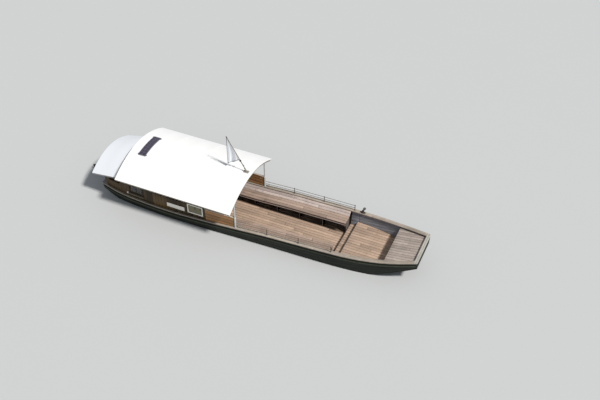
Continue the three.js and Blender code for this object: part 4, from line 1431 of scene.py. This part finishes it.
class FERRY_OT_bulkhead(Operator):
    """Boarded bulkhead with windows and door trims"""

    bl_idname = "ferry.bulkhead"
    bl_label = "Bulkhead"

    def execute(self, context):
        boards = context.scene.ferry_boards
        low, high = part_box("cabin_bulkhead")
        source = "cabin_bulkhead"
        parts = split(copy_of(source), Y, marks(low.y, high.y, boards.wall_board), boards.wall_gap)
        build("bulkhead_boards", parts, wall_finish(), wall_edge(), 0.003, 0, [source])
        timber, panes = [], []
        foot, aft, face = FLOOR_TOP + 0.001, low.x - 0.0005, BULKHEAD_FACE
        for _, side in SIDES:
            wood_parts, glass_parts = window_parts(*PANE_FRAME, high.x - low.x, 0)
            centre = ((low.x + high.x) / 2, side * BULKHEAD_PANE_Y, PANE_HEIGHT)
            timber += set_in(wood_parts, centre, X)
            panes += set_in(glass_parts, centre, X)
            inner, outer = sorted(side * y for y in JAMB)
            timber.append(block((face, inner, foot), (-0.925, outer, JAMB_HEAD)))
            # Stops behind the door's edges, which close the gap round it
            inner, outer = sorted(side * y for y in STOP)
            timber.append(block((low.x - STOP_T, inner, foot), (aft, outer, STOP_HEAD)))
        timber.append(block((face, -0.437, JAMB_HEAD + 0.001), (-0.923, 0.437, 2.13)))
        timber.append(block((face, -0.45, 2.131), (-0.912, 0.45, 2.15)))
        timber.append(block((low.x - STOP_T, -STOP[1], STOP_HEAD + 0.001), (aft, STOP[1], 2.085)))
        build("bulkhead_trims", timber, frame_finish(), wall_edge(), 0.003)
        build("bulkhead_panes", panes, glass(), bevel=0)
        return {"FINISHED"}


class FERRY_OT_door(Operator):
    """Boarded cabin door with ledges, pane, hinges and handles"""

    bl_idname = "ferry.door"
    bl_label = "Cabin door"

    def execute(self, context):
        boards = context.scene.ferry_boards
        low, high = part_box("cabin_door")
        parts = split(copy_of("cabin_door"), Y, marks(low.y, high.y, boards.wall_board), boards.wall_gap)
        for height in DOOR_LEDGES:
            corner = (low.x - 0.0003, high.y - 0.03, height + 0.09)
            parts.append(block((low.x - LEDGE_T, low.y + 0.03, height), corner))
        finish, edge, own = wall_finish(), wall_edge(), "cabin_door"
        build("door_boards", parts, finish, edge, 0.003, 0, ["cabin_door"], own)
        timber, panes = window_parts(*PANE_FRAME, high.x - low.x, 0)
        centre = ((low.x + high.x) / 2, 0, PANE_HEIGHT)
        sash, pane = set_in(timber, centre, X), set_in(panes, centre, X)
        build("door_sash", sash, frame_finish(), None, 0.003, body=own)
        build("door_pane", pane, glass(), bevel=0, body=own)

        iron = []
        for height in DOOR_HINGES:
            barrel = [(0, 0), (0.004, 0), (0.005, 0.003), (0.005, 0.087), (0.004, 0.09), (0, 0.09)]
            iron.append(turned(barrel, (*DOOR_PIN, height), Z, 12))
            iron.append(block((-0.9407, 0.2, height + 0.015), (-0.9375, 0.3468, height + 0.075)))
            for y in (0.225, 0.275, 0.32):
                head = bolt_head(0.006, 0.002)
                aim(head, (-0.9376, y, height + 0.045), X)
                iron.append(place(head))
        knob = [(0, 0), (0.024, 0), (0.024, 0.004), (0.01, 0.006), (0.009, 0.03)]
        knob += [(0.02, 0.036), (0.024, 0.046), (0.018, 0.056), (0, 0.06)]
        iron.append(turned(knob, (high.x - 0.0005, *KNOB_AT), X))
        iron.append(turned(knob, (low.x + 0.0005, *KNOB_AT), -X))
        brass = metal("brass", paint(150, 122, 72), paint(84, 66, 42), 0.4, 0.35, 0.8)
        ironwork("door_fittings", iron, brass, 0.0008, body="cabin_door")
        return {"FINISHED"}


BAY_SEAMS = (0.975, 1.125)
RAIL_BRACKETS = (-0.8, -0.41, -0.02)
BRACKET_Z = (1.16, 1.19, 1.2745)


class FERRY_OT_bay(Operator):
    """Boarded panels beside the open bay, with rounded handrails and brackets"""

    bl_idname = "ferry.bay"
    bl_label = "Open bay"

    def execute(self, context):
        tints = context.scene.ferry_colours
        pale, deep = shade(tints.panel, 1.15), shade(tints.panel, 0.6)
        finish = wood("bay_boards", pale, deep, "X", 0.7, 0.8, 0.2, 0.35, (0.4, 0.6), 0.25, 0.3)
        rail = weathered("handrail_wood", shade(tints.rim, 1.25))
        for name, side in SIDES:
            source = f"bay_panel_{name}"
            parts = split(copy_of(source), Z, BAY_SEAMS, 0.004)
            build(f"{source}_boards", parts, finish, wall_edge(), 0.004, 0, [source])
            source = f"bay_handrail_{name}"
            edge = worn_edge("handrail_edges", shade(tints.rim, 1.3))
            build(f"{source}_wood", [copy_of(source)], rail, edge, 0.012, 0, [source])
            iron = []
            foot_z, bolt_z, top_z = BRACKET_Z
            for x in RAIL_BRACKETS:
                face = wall_face(x) - 0.035
                inner, outer = sorted((side * (face - 0.004), side * (face - 0.0003)))
                iron.append(block((x - 0.012, inner, foot_z), (x + 0.012, outer, top_z)))
                head = bolt_head(0.006, 0.003)
                aim(head, (x, side * (face - 0.0035), bolt_z), -Y * side)
                iron.append(place(head))
            ironwork(f"handrail_brackets_{name}", iron, galvanised(), 0.001)
        return {"FINISHED"}


STANCHIONS = (1.28, 2.38, 3.49)
WIRE_START = 0.187
WIRE_HEIGHTS = (0.108, 0.208)
WIRE_RADIUS = 0.0075
POST_BOLT_HEIGHTS = (0.06, 0.34)


def post_outline(tall):
    """Socket, collar, pipe and flared head of a front post, as (radius, height) pairs"""
    socket = [(0, 0), (0.037, 0), (0.037, 0.012), (0.033, 0.016), (0.033, 0.39)]
    collar = [(0.036, 0.393), (0.036, 0.408), (0.031, 0.415), (0.02, 0.422)]
    pipe = [(0.02, 0.8), (0.0225, 0.802), (0.0225, 0.826), (0.02, 0.828), (0.02, tall - 0.03)]
    return [*socket, *collar, *pipe, (0.03, tall - 0.012), (0.034, tall - 0.01), (0.034, tall), (0, tall)]


def stanchion_outline():
    """Foot, pole with a collar at each wire, and rounded top"""
    outline = [(0, 0), (0.017, 0), (0.017, 0.01), (0.0115, 0.018)]
    for height in WIRE_HEIGHTS:
        outline += [(0.0115, height - 0.02), (0.015, height - 0.017)]
        outline += [(0.015, height + 0.009), (0.0115, height + 0.011)]
    return [*outline, (0.008, 0.226), (0, 0.228)]


class FERRY_OT_rails(Operator):
    """Turned front posts, stanchions and wires"""

    bl_idname = "ferry.rails"
    bl_label = "Posts and rails"

    def execute(self, context):
        tints = context.scene.ferry_colours
        posts = metal("post_paint", tints.steel, paint(120, 104, 90), 0.35, 0.4)
        for name, side in SIDES:
            low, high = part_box(f"front_post_{name}")
            axis = ((low.x + high.x) / 2, (low.y + high.y) / 2, low.z)
            post = turned(post_outline(high.z - low.z), axis, Z, 24)
            nodes = [f"front_post_{name}"]
            build(f"front_post_pipe_{name}", [post], posts, bevel=0, nodes=nodes)
            heads = []
            for height in POST_BOLT_HEIGHTS:
                for outward in (Y, -Y, X):
                    heads.append((Vector(axis) + outward * 0.036 + Z * height, outward))
            bolts(f"post_bolts_{name}", 0.008, 0.004, heads)

            poles, feet, wires, heads = [], [], [], []
            for x in STANCHIONS:
                y = side * (rim(x)[0] - RAIL_INSET)
                z = max(rim(x - 0.032)[1], rim(x + 0.032)[1]) + 0.0004
                feet.append(block((x - 0.034, y - 0.026, z), (x + 0.034, y + 0.026, z + 0.009)))
                poles.append(turned(stanchion_outline(), (x, y, z + 0.0085), Z, 14))
                heads += [(Vector((x + off, y, z + 0.009)), Z) for off in (-0.025, 0.025)]
            for height in WIRE_HEIGHTS:
                ends = []
                for x in (WIRE_START, *STANCHIONS):
                    ends.append(Vector((x, side * (rim(x)[0] - RAIL_INSET), rim(x)[1] + height)))
                wires += [rod(a, b, WIRE_RADIUS, 8) for a, b in zip(ends, ends[1:])]
                along = (ends[1] - ends[0]).normalized()
                screw = [(0, 0), (0.006, 0.002), (0.006, 0.03), (0.013, 0.038)]
                screw += [(0.013, 0.15), (0.006, 0.158), (0.006, 0.19), (0, 0.192)]
                feet.append(turned(screw, ends[0] + along * 0.03, along, 10))
                eye = [(0.008, -0.004), (0.016, -0.004), (0.016, 0.004), (0.008, 0.004), (0.008, -0.004)]
                feet.append(turned(eye, ends[0] + along * 0.012, Y, 12))
            ironwork(f"stanchions_{name}", poles, rail_iron(), nodes=[f"side_rail_{name}"])
            ironwork(f"rail_feet_{name}", feet, galvanised(), 0.0012)
            ironwork(f"rail_wires_{name}", wires, wire_steel())
            bolts(f"rail_bolts_{name}", 0.006, 0.004, heads)
        return {"FINISHED"}


# Roofs


TAIL_NARROWEST = 1.136
ROOF_BOARD = 0.15
LAP_AT = (2 / 7, 4 / 7)
LAP_HALF = 0.024
# Where the painted shadow strip on the lower roof lies, measured aft from the joint
SHADE_STRIP_FROM_JOINT = (0.215, 0.15)

# The batten under each eave, and the knees that stand on the wall
BATTEN_Y = (1.506, 1.538)
HEM_SCREWS = [-3.9 + 0.27 * k for k in range(15)]
HEM_SCREW_AT = (1.5452, 1.768)
KNEES = (-3.83, -3.23, -2.465, -1.695, -0.985)
KNEE_OUT = 1.47
KNEE_FOOT = 1.56


def stretch_canvas(node_name, name, finish):
    """Canvas over a roof: hollow between the ribs and folded down round the edge"""
    cloth = bpy.context.scene.ferry_cloth
    low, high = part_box(node_name)
    sheet = skin(node_name, roof_face)
    bays = max(round((high.x - low.x) / cloth.rib_pitch), 1)
    edit(sheet)
    choose(sheet, lambda edge: abs(edge.verts[0].co.x - edge.verts[1].co.x) > 0.5, "EDGE")
    bpy.ops.mesh.subdivide(number_cuts=bays * 8 - 1)
    done()
    half = max(abs(low.y), high.y)
    for vertex in sheet.data.vertices:
        x, y, z = vertex.co
        between = math.sin(math.pi * bays * (x - low.x) / (high.x - low.x)) ** 2
        vertex.co.z = z - cloth.canvas_sag * between * (1 - (y / half) ** 4)
    edit(sheet)
    choose(sheet, lambda edge: edge.is_boundary, "EDGE")
    bpy.ops.mesh.extrude_region_move(TRANSFORM_OT_translate={"value": (0, 0, -cloth.canvas_drop)})
    done()
    obj = build(name, [sheet], finish, None, 0, cloth.canvas_thickness, [node_name])
    return obj


def roof_boards(node_name, name, thickness, finish):
    """Boards along the boat under a roof's canvas"""
    low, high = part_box(node_name)
    sheet = skin(node_name, lambda face: face.normal.z < -0.5)
    for point, normal in ((high.x, X), (low.x, -X)):
        trim(sheet, X * point - normal * 0.004, normal, False)
    narrowest = TAIL_NARROWEST if node_name == "tail_roof" else high.y - 0.004
    cuts = marks(-narrowest, narrowest, ROOF_BOARD)
    parts = split(sheet, Y, cuts, 0.003, False)
    if node_name == "main_roof":
        for part, normal in ((parts[0], -Y), (parts[-1], Y)):
            trim(part, normal * narrowest, normal, False)
    else:
        for part in (parts[0], parts[-1]):
            narrow(part, 0.005)
    return build(name, parts, finish, None, 0.002, thickness)


class FERRY_OT_roofs(Operator):
    """Canvas roofs over boards, with laps, battens, arched beams and knees under the eaves"""

    bl_idname = "ferry.roofs"
    bl_label = "Roofs"

    def execute(self, context):
        tints = context.scene.ferry_colours
        under = weathered("roof_board_wood", paint(112, 98, 78), cracks=0.2)
        roof_boards("main_roof", "main_roof_boards", 0.033, under)
        roof_boards("tail_roof", "tail_roof_boards", 0.027, under)
        white = canvas("roof_canvas", tints.canvas)
        bluish = canvas("tail_canvas", tints.tail_canvas)
        stretch_canvas("main_roof", "main_canvas", white)
        stretch_canvas("tail_roof", "rear_canvas", bluish)

        # Raised laps where two widths of canvas are welded, on ribs
        laps = []
        low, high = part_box("main_roof")
        for part in LAP_AT:
            x = low.x + (high.x - low.x) * part
            lap = skin("main_roof", roof_face)
            trim(lap, X * (x + LAP_HALF), X, False)
            trim(lap, X * (x - LAP_HALF), -X, False)
            lap.location.z = 0.0022
            laps.append(place(lap))
        build("canvas_laps", laps, white, None, 0, 0.003)

        # Dark strip on the lower roof, along the joint with the main one: painted shadow of the main roof's
        # edge
        shade_strip = skin("tail_roof", roof_face)
        trim(shade_strip, X * (low.x - SHADE_STRIP_FROM_JOINT[1]), X, False)
        trim(shade_strip, X * (low.x - SHADE_STRIP_FROM_JOINT[0]), -X, False)
        shade_strip.location.z = 0.004
        dark = canvas("joint_seal", paint(66, 64, 64), 160.0, 0.3)
        build("roof_seal", [place(shade_strip)], dark, None, 0, 0.0035)

        # Battens behind the hem along the eaves, in a dark finish that is painted shade under the eaves,
        # and the screws that hold the hem
        shaded_batten_wood = wood("eave_wood", paint(62, 53, 42), paint(40, 33, 26), "X", 0.4, 0.8, 0.3, 0.4)
        battens, heads = [], []
        screw_y, screw_z = HEM_SCREW_AT
        for _, side in SIDES:
            inner, outer = sorted(side * y for y in BATTEN_Y)
            batten = block((-4.07, inner, 1.734), (0.2, outer, ROOF_EAVE))
            slope = Vector((0, side * 0.6, 1))
            under_roof = roof_top(BATTEN_Y[0]) - ROOF_T - 0.002
            battens.append(trim(batten, Vector((0, side * BATTEN_Y[0], under_roof)), slope))
            heads += [(Vector((x, side * screw_y, screw_z)), Y * side) for x in HEM_SCREWS]
        build("eave_battens", battens, shaded_batten_wood, None, 0.004)
        bolts("hem_screws", 0.006, 0.003, heads)

        # Arched beams
        oiled = {"spread": 0.6, "grain": 0.9, "cracks": 0.3}
        oiled.update(rough=(0.45, 0.65), bump=0.25, coat=0.2)
        finish = wood("beam_wood", paint(112, 84, 54), paint(62, 44, 29), "Y", **oiled)
        for source in ("roof_beam_front", "roof_beam_middle", "roof_beam_aft", "roof_rear_board"):
            beam = [copy_of(source, False)]
            build(f"{source}_wood", beam, finish, wall_edge(), 0.005, 0, [source])

        # Knees between the wall and the eaves
        knees = []
        out_z = roof_top(KNEE_OUT)
        for _, side in SIDES:
            for x in KNEES:
                face = wall_face(x) + 0.0015
                near, far = sorted((side * face, side * KNEE_OUT))
                knee = block((x, near, 1.5), (x + 0.04, far, 1.98))
                slope = Vector((0, side * (roof_top(face) - out_z), KNEE_OUT - face))
                trim(knee, Vector((x, side * face, roof_top(face) - ROOF_T - 0.003)), slope)
                foot = Vector((0, side * (out_z - ROOF_T - 0.035 - KNEE_FOOT), face - KNEE_OUT))
                knees.append(trim(knee, Vector((x, side * face, KNEE_FOOT)), foot))
        finish = wood("knee_wood", paint(92, 70, 44), paint(54, 40, 26), "Y", **{**oiled, "spread": 0.5})
        build("eave_knees", knees, finish, wall_edge(), 0.004)
        return {"FINISHED"}


PANEL_RIM = 0.014
CELL_WIDTH = 0.127
CELL_GAP = 0.008


class FERRY_OT_solar(Operator):
    """Curved solar panel with cells, frame and clamps"""

    bl_idname = "ferry.solar"
    bl_label = "Solar panel"

    def execute(self, context):
        tints = context.scene.ferry_colours
        low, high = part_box("solar_panel")
        rim_finish = metal("panel_frame", paint(150, 150, 156), paint(96, 96, 100), 0.2, 0.4, 0.5, 30.0)
        frame_parts = [copy_of("solar_panel", False)]
        build("solar_frame", frame_parts, rim_finish, None, 0.004, 0, ["solar_panel"])
        sheet = skin("solar_panel", roof_face)
        for normal, edge in ((X, high.x), (-X, -low.x), (Y, high.y), (-Y, -low.y)):
            trim(sheet, normal * (edge - PANEL_RIM), normal, False)
        cells = []
        cuts = marks(low.y + PANEL_RIM, high.y - PANEL_RIM, CELL_WIDTH)
        for strip in split(sheet, Y, cuts, CELL_GAP, False):
            cells += split(strip, X, [(low.x + high.x) / 2], CELL_GAP, False)
        for cell in cells:
            cell.location.z = 0.0018
            place(cell)
        build("solar_cells", cells, solar_cells(tints.solar), None, 0, 0.002)

        clamps, heads = [], []
        for x in (low.x, high.x):
            for y in (low.y + 0.05, high.y - 0.05):
                z = roof_top(y)
                out = 0.024 if x == high.x else -0.024
                near, far = sorted((x - out * 0.2, x + out))
                clamp = block((near, y - 0.018, z - 0.006), (far, y + 0.018, z + 0.032))
                edit(clamp)
                choose(clamp, lambda face: face.normal.z > 0.9)
                bpy.ops.transform.resize(value=(0.7, 0.7, 1))
                done()
                clamps.append(clamp)
                heads.append((Vector(((near + far) / 2, y, z + 0.0315)), Z))
        dark = metal("clamp_iron", paint(84, 80, 78), paint(110, 84, 66), 0.3, 0.5, 0.4)
        ironwork("solar_clamps", clamps, dark, 0.002)
        bolts("solar_bolts", 0.008, 0.004, heads)
        return {"FINISHED"}


# Flag and signs


STAFF_FOOT = Vector((0.010, 0.090, 2.296))
STAFF_TOP = Vector((-0.660, 0.090, 3.520))
FLAG_TIP = Vector((-0.6585, 0.09, 3.466))
FLAG_KNEE = Vector((-0.231, 0.09, 2.676))
FLAG_CORNER = Vector((-0.6585, 0.09, 2.402))

# Widths of the hem along the flag's free edge and its lower edge
HEM_AFT = 0.02
HEM_BELOW = 0.036

# Shares of the staff's length where the flag's rings sit, and the cleat's two bars
LINE_RINGS = (0.36, 0.47, 0.58, 0.69, 0.80, 0.91)
CLEAT_BARS = (
    ((0.012, 0, 0.02), (0.035, 0, 0.01)),
    ((0.036, 0, -0.035), (0.03, 0, 0.055)),
)


class FERRY_OT_flag(Operator):
    """Leaning staff with its bracket, truck and line, and the flag that hangs from it in folds"""

    bl_idname = "ferry.flag"
    bl_label = "Flag"

    def execute(self, context):
        cloth = context.scene.ferry_cloth
        along = STAFF_TOP - STAFF_FOOT
        tall = along.length
        outline = [(0, 0), (0.013, 0), (0.013, 0.45), (0.0145, 0.452), (0.0145, 0.47), (0.012, 0.472)]
        outline += [(0.0105, tall - 0.05), (0.015, tall - 0.045), (0.016, tall - 0.03)]
        outline += [(0.013, tall - 0.008), (0.006, tall), (0, tall)]
        staff = turned(outline, STAFF_FOOT, along, 16)
        staff_paint = metal("staff_paint", paint(96, 90, 84), paint(132, 112, 90), 0.4, 0.5)
        ironwork("flag_staff_pole", [staff], staff_paint, nodes=["flag_staff"])
        bracket_steel = metal("bracket_steel", paint(166, 160, 150), paint(76, 68, 60), 0.5, 0.5, 0.4, 45.0)
        ironwork("flag_bracket_iron", [copy_of("flag_bracket")], bracket_steel, 0.002, ["flag_bracket"])
        plate_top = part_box("flag_bracket")[0].z + 0.018
        heads = corner_heads(STAFF_FOOT.x, STAFF_FOOT.y, plate_top, 0.072, 0.038)
        bolts("bracket_bolts", 0.008, 0.005, heads)

        def ring(part, radius, half):
            lower = [(0.0125, -half), (radius * 0.8, -half), (radius, -half * 0.4)]
            upper = [(radius, half * 0.4), (radius * 0.8, half), (0.0125, half), (0.0125, -half)]
            return turned([*lower, *upper], STAFF_FOOT + along * part, along, 16)

        fittings = [ring(0.30, 0.03, 0.032), ring(0.965, 0.021, 0.012)]
        cleat_at = STAFF_FOOT + along * 0.16
        for start, end in CLEAT_BARS:
            fittings.append(rod(cleat_at + Vector(start), cleat_at + Vector(end), 0.006, 8))
        ironwork("staff_fittings", fittings, dark_iron())
        aside = Vector((0.016, 0.004, 0.0085))
        line = [rod(STAFF_FOOT + along * 0.17 + aside, STAFF_FOOT + along * 0.962 + aside, 0.0028, 8)]
        line += [ring(part, 0.0175, 0.0035) for part in LINE_RINGS]
        finish = canvas("line_cord", paint(206, 202, 190), 400.0, 0.3)
        build("flag_line", line, finish, bevel=0)

        bpy.ops.object.select_all(action="DESELECT")
        bpy.ops.mesh.primitive_grid_add(x_subdivisions=56, y_subdivisions=36, size=1)
        flag = bpy.context.object
        for vertex in flag.data.vertices:
            vertex.co = self.hang(vertex.co.x + 0.5, vertex.co.y + 0.5, cloth)
        edit(flag, "VERT", "SELECT")
        bpy.ops.mesh.remove_doubles(threshold=1e-4)
        done()
        hem = duplicate(flag)
        edit(hem)
        choose(hem, self.is_inner)
        bpy.ops.mesh.delete(type="FACE")
        done()
        modify(flag, "SOLIDIFY", thickness=0.0012, offset=0)
        modify(hem, "SOLIDIFY", thickness=0.0034, offset=0)
        weave_finish = canvas("flag_weave", paint(246, 248, 252), 260.0, 0.12, True, 0.85)
        build("flag_sheet", [flag], weave_finish, None, 0, 0, ["flag"])
        hem_finish = canvas("hem_weave", paint(150, 152, 160), 260.0, 0.25, True)
        build("flag_hem", [hem], hem_finish, None, 0)
        # A three-cornered cloth: its free edge hangs, and its width is what the folds take up
        return {"FINISHED"}

    def hang(self, s, t, cloth):
        """Point of the cloth: s runs up the staff from knee to tip, and t hangs down from it"""
        top = FLAG_KNEE.lerp(FLAG_TIP, s)
        foot = FLAG_KNEE.lerp(FLAG_CORNER, s)
        point = top.lerp(foot, t)
        free = (t ** 0.8) * min(s * 2.2, 1.0)
        phase = math.tau * (cloth.fold_count * s + 0.18 * math.sin(2.6 * t) + 0.1)
        point.y += cloth.fold_depth * free * (math.sin(phase) + 0.28 * math.sin(2.3 * phase + 1.1))
        point.x += 0.018 * free * math.cos(phase) * (1 - s ** 6)
        point.z += 0.012 * t * math.sin(phase * 1.5) * s * (1 - s ** 8)
        return point

    def is_inner(self, face):
        """Faces away from the flag's free edge and its lower edge"""
        middle = face.calc_center_median()
        part = (FLAG_KNEE.x - middle.x) / (FLAG_KNEE.x - FLAG_CORNER.x)
        below = FLAG_KNEE.lerp(FLAG_CORNER, part)
        return middle.x > FLAG_TIP.x + HEM_AFT and middle.z > below.z + HEM_BELOW


# Columns: node, width of the frame, depth of the sunk middle
SIGNS = (
    ("banner_board", 0.014, 0.004),
    ("poster_board", 0.036, 0.006),
)


class FERRY_OT_signs(Operator):
    """Blank sign boards with raised frames and screws"""

    bl_idname = "ferry.signs"
    bl_label = "Sign boards"

    def execute(self, context):
        tints = context.scene.ferry_colours
        paint_finish = metal("sign_paint", tints.sign, paint(120, 104, 82), 0.3, 0.55)
        faded = metal("poster_paint", tints.poster, shade(tints.poster, 0.45), 0.75, 0.6, 0.0, 9.0)
        for name, border, depth in SIGNS:
            low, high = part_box(name)
            board = block(low, high)
            board.data.materials.append(paint_finish)
            board.data.materials.append(faded)
            edit(board)
            choose(board, lambda face: face.normal.y < -0.9)
            bpy.ops.mesh.inset(thickness=border)
            bpy.ops.mesh.inset(thickness=0.003)
            bpy.ops.transform.translate(value=(0, depth, 0))
            done()
            if name == "poster_board":
                for face in board.data.polygons:
                    is_sunk = face.center.y > low.y + depth * 0.9
                    face.material_index = 1 if face.normal.y < -0.9 and is_sunk else 0
            limit = {"limit_method": "ANGLE", "angle_limit": math.radians(50)}
            modify(board, "BEVEL", width=0.0012, segments=2, **limit)
            settle(f"{name}_painted", board, [name])
            heads = []
            for x in (low.x + 0.012, high.x - 0.012):
                heads += [(Vector((x, low.y - 0.0003, z)), -Y) for z in (low.z + 0.012, high.z - 0.012)]
            bolts(f"{name}_screws", 0.0045, 0.002, heads)
        return {"FINISHED"}


# Steering and tow


RUDDER_X = -5.165
BLADE_SEAMS = (0.17, 0.3, 0.43)
STRAP_HEIGHTS = (0.1, 0.235, 0.365, 0.5)
TILLER_FOOT = Vector((-5.131, 0, 1.08))
TILLER_END = Vector((-4.42, 0, 1.14))
GRIP_LENGTH = 0.205


class FERRY_OT_steering(Operator):
    """Planked rudder with straps, stock, brackets and tiller"""

    bl_idname = "ferry.steering"
    bl_label = "Steering"

    def execute(self, context):
        blade = block((-6.2, -0.022, 0.04), (-5.1895, 0.022, 0.56))
        parts = split(blade, Z, BLADE_SEAMS, 0.003)
        edge = worn_edge("tarred_edges", shade(context.scene.ferry_colours.hull, 0.8))
        build("rudder_planks", parts, hull_finish(), edge, 0.006, 0, ["rudder"], "rudder")

        outline = [(0, 0.07), (0.022, 0.07), (0.024, 0.075), (0.024, 0.66), (0.031, 0.662)]
        outline += [(0.031, 0.684), (0.024, 0.686), (0.024, 1.108), (0.018, 1.12), (0, 1.12)]
        iron = [turned(outline, (RUDDER_X, 0, 0), Z, 20)]
        heads = []
        for z in STRAP_HEIGHTS:
            for side in (1, -1):
                inner, outer = sorted((side * 0.0222, side * 0.0285))
                iron.append(block((-5.98 + z * 0.25, inner, z - 0.022), (-5.178, outer, z + 0.022)))
                heads += [(Vector((-5.26 - 0.2 * k, side * 0.0283, z)), Y * side) for k in range(4)]
        ironwork("rudder_iron", iron, dark_iron(), 0.002, body="rudder")
        bolts("rudder_bolts", 0.010, 0.005, heads, dark_iron(), "rudder")

        ironwork("rudder_hangers", [copy_of("rudder_brackets")], dark_iron(), 0.003, ["rudder_brackets"])
        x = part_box("rudder_brackets")[1].x - 0.013
        heads = [(Vector((x, y, z)), -X) for y in (-0.045, 0.045) for z in (0.745, 0.775)]
        bolts("hanger_bolts", 0.009, 0.005, heads)

        hub = [(0.0243, 1.045), (0.04, 1.045), (0.044, 1.05), (0.044, 1.104)]
        hub += [(0.04, 1.11), (0.0243, 1.11), (0.0243, 1.045)]
        arm = TILLER_END - TILLER_FOOT
        reach = arm.length
        outline = [(0, 0), (0.021, 0), (0.021, 0.08), (0.0185, 0.09)]
        outline += [(0.0165, reach - 0.2), (0, reach - 0.2)]
        iron = [turned(hub, (RUDDER_X, 0, 0), Z, 24), turned(outline, TILLER_FOOT, arm, 16)]
        pin = [(0, -0.056), (0.007, -0.054), (0.007, 0.054), (0, 0.056)]
        iron.append(turned(pin, (-5.1, 0, 1.0826), Y, 8))
        ironwork("tiller_iron", iron, dark_iron(), 0, ["tiller"], "rudder")
        outline = [(0, -GRIP_LENGTH), (0.017, -GRIP_LENGTH), (0.021, -0.19), (0.018, -0.15)]
        outline += [(0.02, -0.08), (0.0195, -0.02), (0.014, -0.002), (0, 0)]
        grip = turned([(radius, reach + back) for radius, back in outline], TILLER_FOOT, arm, 16)
        light, deep = paint(168, 124, 78), paint(104, 70, 42)
        finish = wood("grip_wood", light, deep, "X", 0.3, 0.8, 0.2, 0.3, (0.35, 0.5), 0.2, 0.3)
        build("tiller_grip", [grip], finish, bevel=0, body="rudder")
        return {"FINISHED"}


class FERRY_OT_tow(Operator):
    """Tow post on the port gunwale and the eye that swings on it"""

    bl_idname = "ferry.tow"
    bl_label = "Tow fitting"

    def execute(self, context):
        low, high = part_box("tow_bracket")
        centre = (low + high) / 2
        plate = block(low, (high.x, high.y, low.z + 0.012))
        tall = high.z - low.z
        outline = [(0, 0.011), (0.034, 0.011), (0.03, 0.016), (0.022, 0.024), (0.022, tall - 0.013)]
        outline += [(0.033, tall - 0.0125), (0.036, tall - 0.009), (0.036, tall - 0.004)]
        outline += [(0.028, tall), (0, tall)]
        post = turned(outline, (centre.x, centre.y, low.z), Z, 24)
        finish = metal("tow_iron", paint(70, 68, 66), paint(112, 74, 50), 0.4, 0.5, 0.5)
        ironwork("tow_post", [plate, post], finish, 0.003, ["tow_bracket"])
        heads = corner_heads(centre.x, centre.y, low.z + 0.012, 0.07, 0.03)
        bolts("tow_bolts", 0.011, 0.007, heads)

        low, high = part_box("tow_eye")
        y, z0, z1 = centre.y, low.z, high.z
        collar = ring_outline(0.024, 0.042, z0, z1, 0.002)
        eye = ring_outline(0.0205, 0.048, z0, z1, 0.003)
        arm = block((centre.x - 0.026, y + 0.036, z0 + 0.0003), (centre.x + 0.026, y + 0.112, z1 - 0.0003))
        parts = [turned(collar, (centre.x, y, 0), Z, 24), turned(eye, (centre.x, y + 0.15, 0), Z, 28), arm]
        ironwork("tow_eye_iron", parts, finish, 0.0015, ["tow_eye"], "tow_eye")
        return {"FINISHED"}


# The add-on


SETTINGS = (
    ("ferry_boards", FerryBoards),
    ("ferry_cloth", FerryCloth),
    ("ferry_colours", FerryColours),
    ("ferry_stage", FerryStage),
)
STEPS = (
    FERRY_OT_stage,
    FERRY_OT_hull,
    FERRY_OT_strakes,
    FERRY_OT_frames,
    FERRY_OT_gunwales,
    FERRY_OT_floors,
    FERRY_OT_benches,
    FERRY_OT_cabin,
    FERRY_OT_bulkhead,
    FERRY_OT_door,
    FERRY_OT_bay,
    FERRY_OT_rails,
    FERRY_OT_roofs,
    FERRY_OT_solar,
    FERRY_OT_flag,
    FERRY_OT_signs,
    FERRY_OT_steering,
    FERRY_OT_tow,
)


class FERRY_PT_panel(Panel):
    """Lists the ferry's settings and pieces"""

    bl_idname = "FERRY_PT_panel"
    bl_label = "Passenger ferry"
    bl_space_type = "VIEW_3D"
    bl_region_type = "UI"
    bl_category = "Ferry"

    def draw(self, context):
        for label, kind in SETTINGS:
            box = self.layout.box()
            box.label(text=kind.__doc__)
            settings = getattr(context.scene, label)
            for key in kind.__annotations__:
                box.prop(settings, key)
        for step in STEPS:
            self.layout.operator(step.bl_idname)


CLASSES = (*(kind for label, kind in SETTINGS), *STEPS, FERRY_PT_panel)


def register():
    for kind in CLASSES:
        bpy.utils.register_class(kind)
    for label, kind in SETTINGS:
        setattr(bpy.types.Scene, label, PointerProperty(type=kind))


def unregister():
    for label, kind in SETTINGS:
        delattr(bpy.types.Scene, label)
    for kind in reversed(CLASSES):
        bpy.utils.unregister_class(kind)


def main():
    register()
    for step in STEPS:
        getattr(bpy.ops.ferry, step.bl_idname.split(".")[1])()


if __name__ == "__main__":
    main()
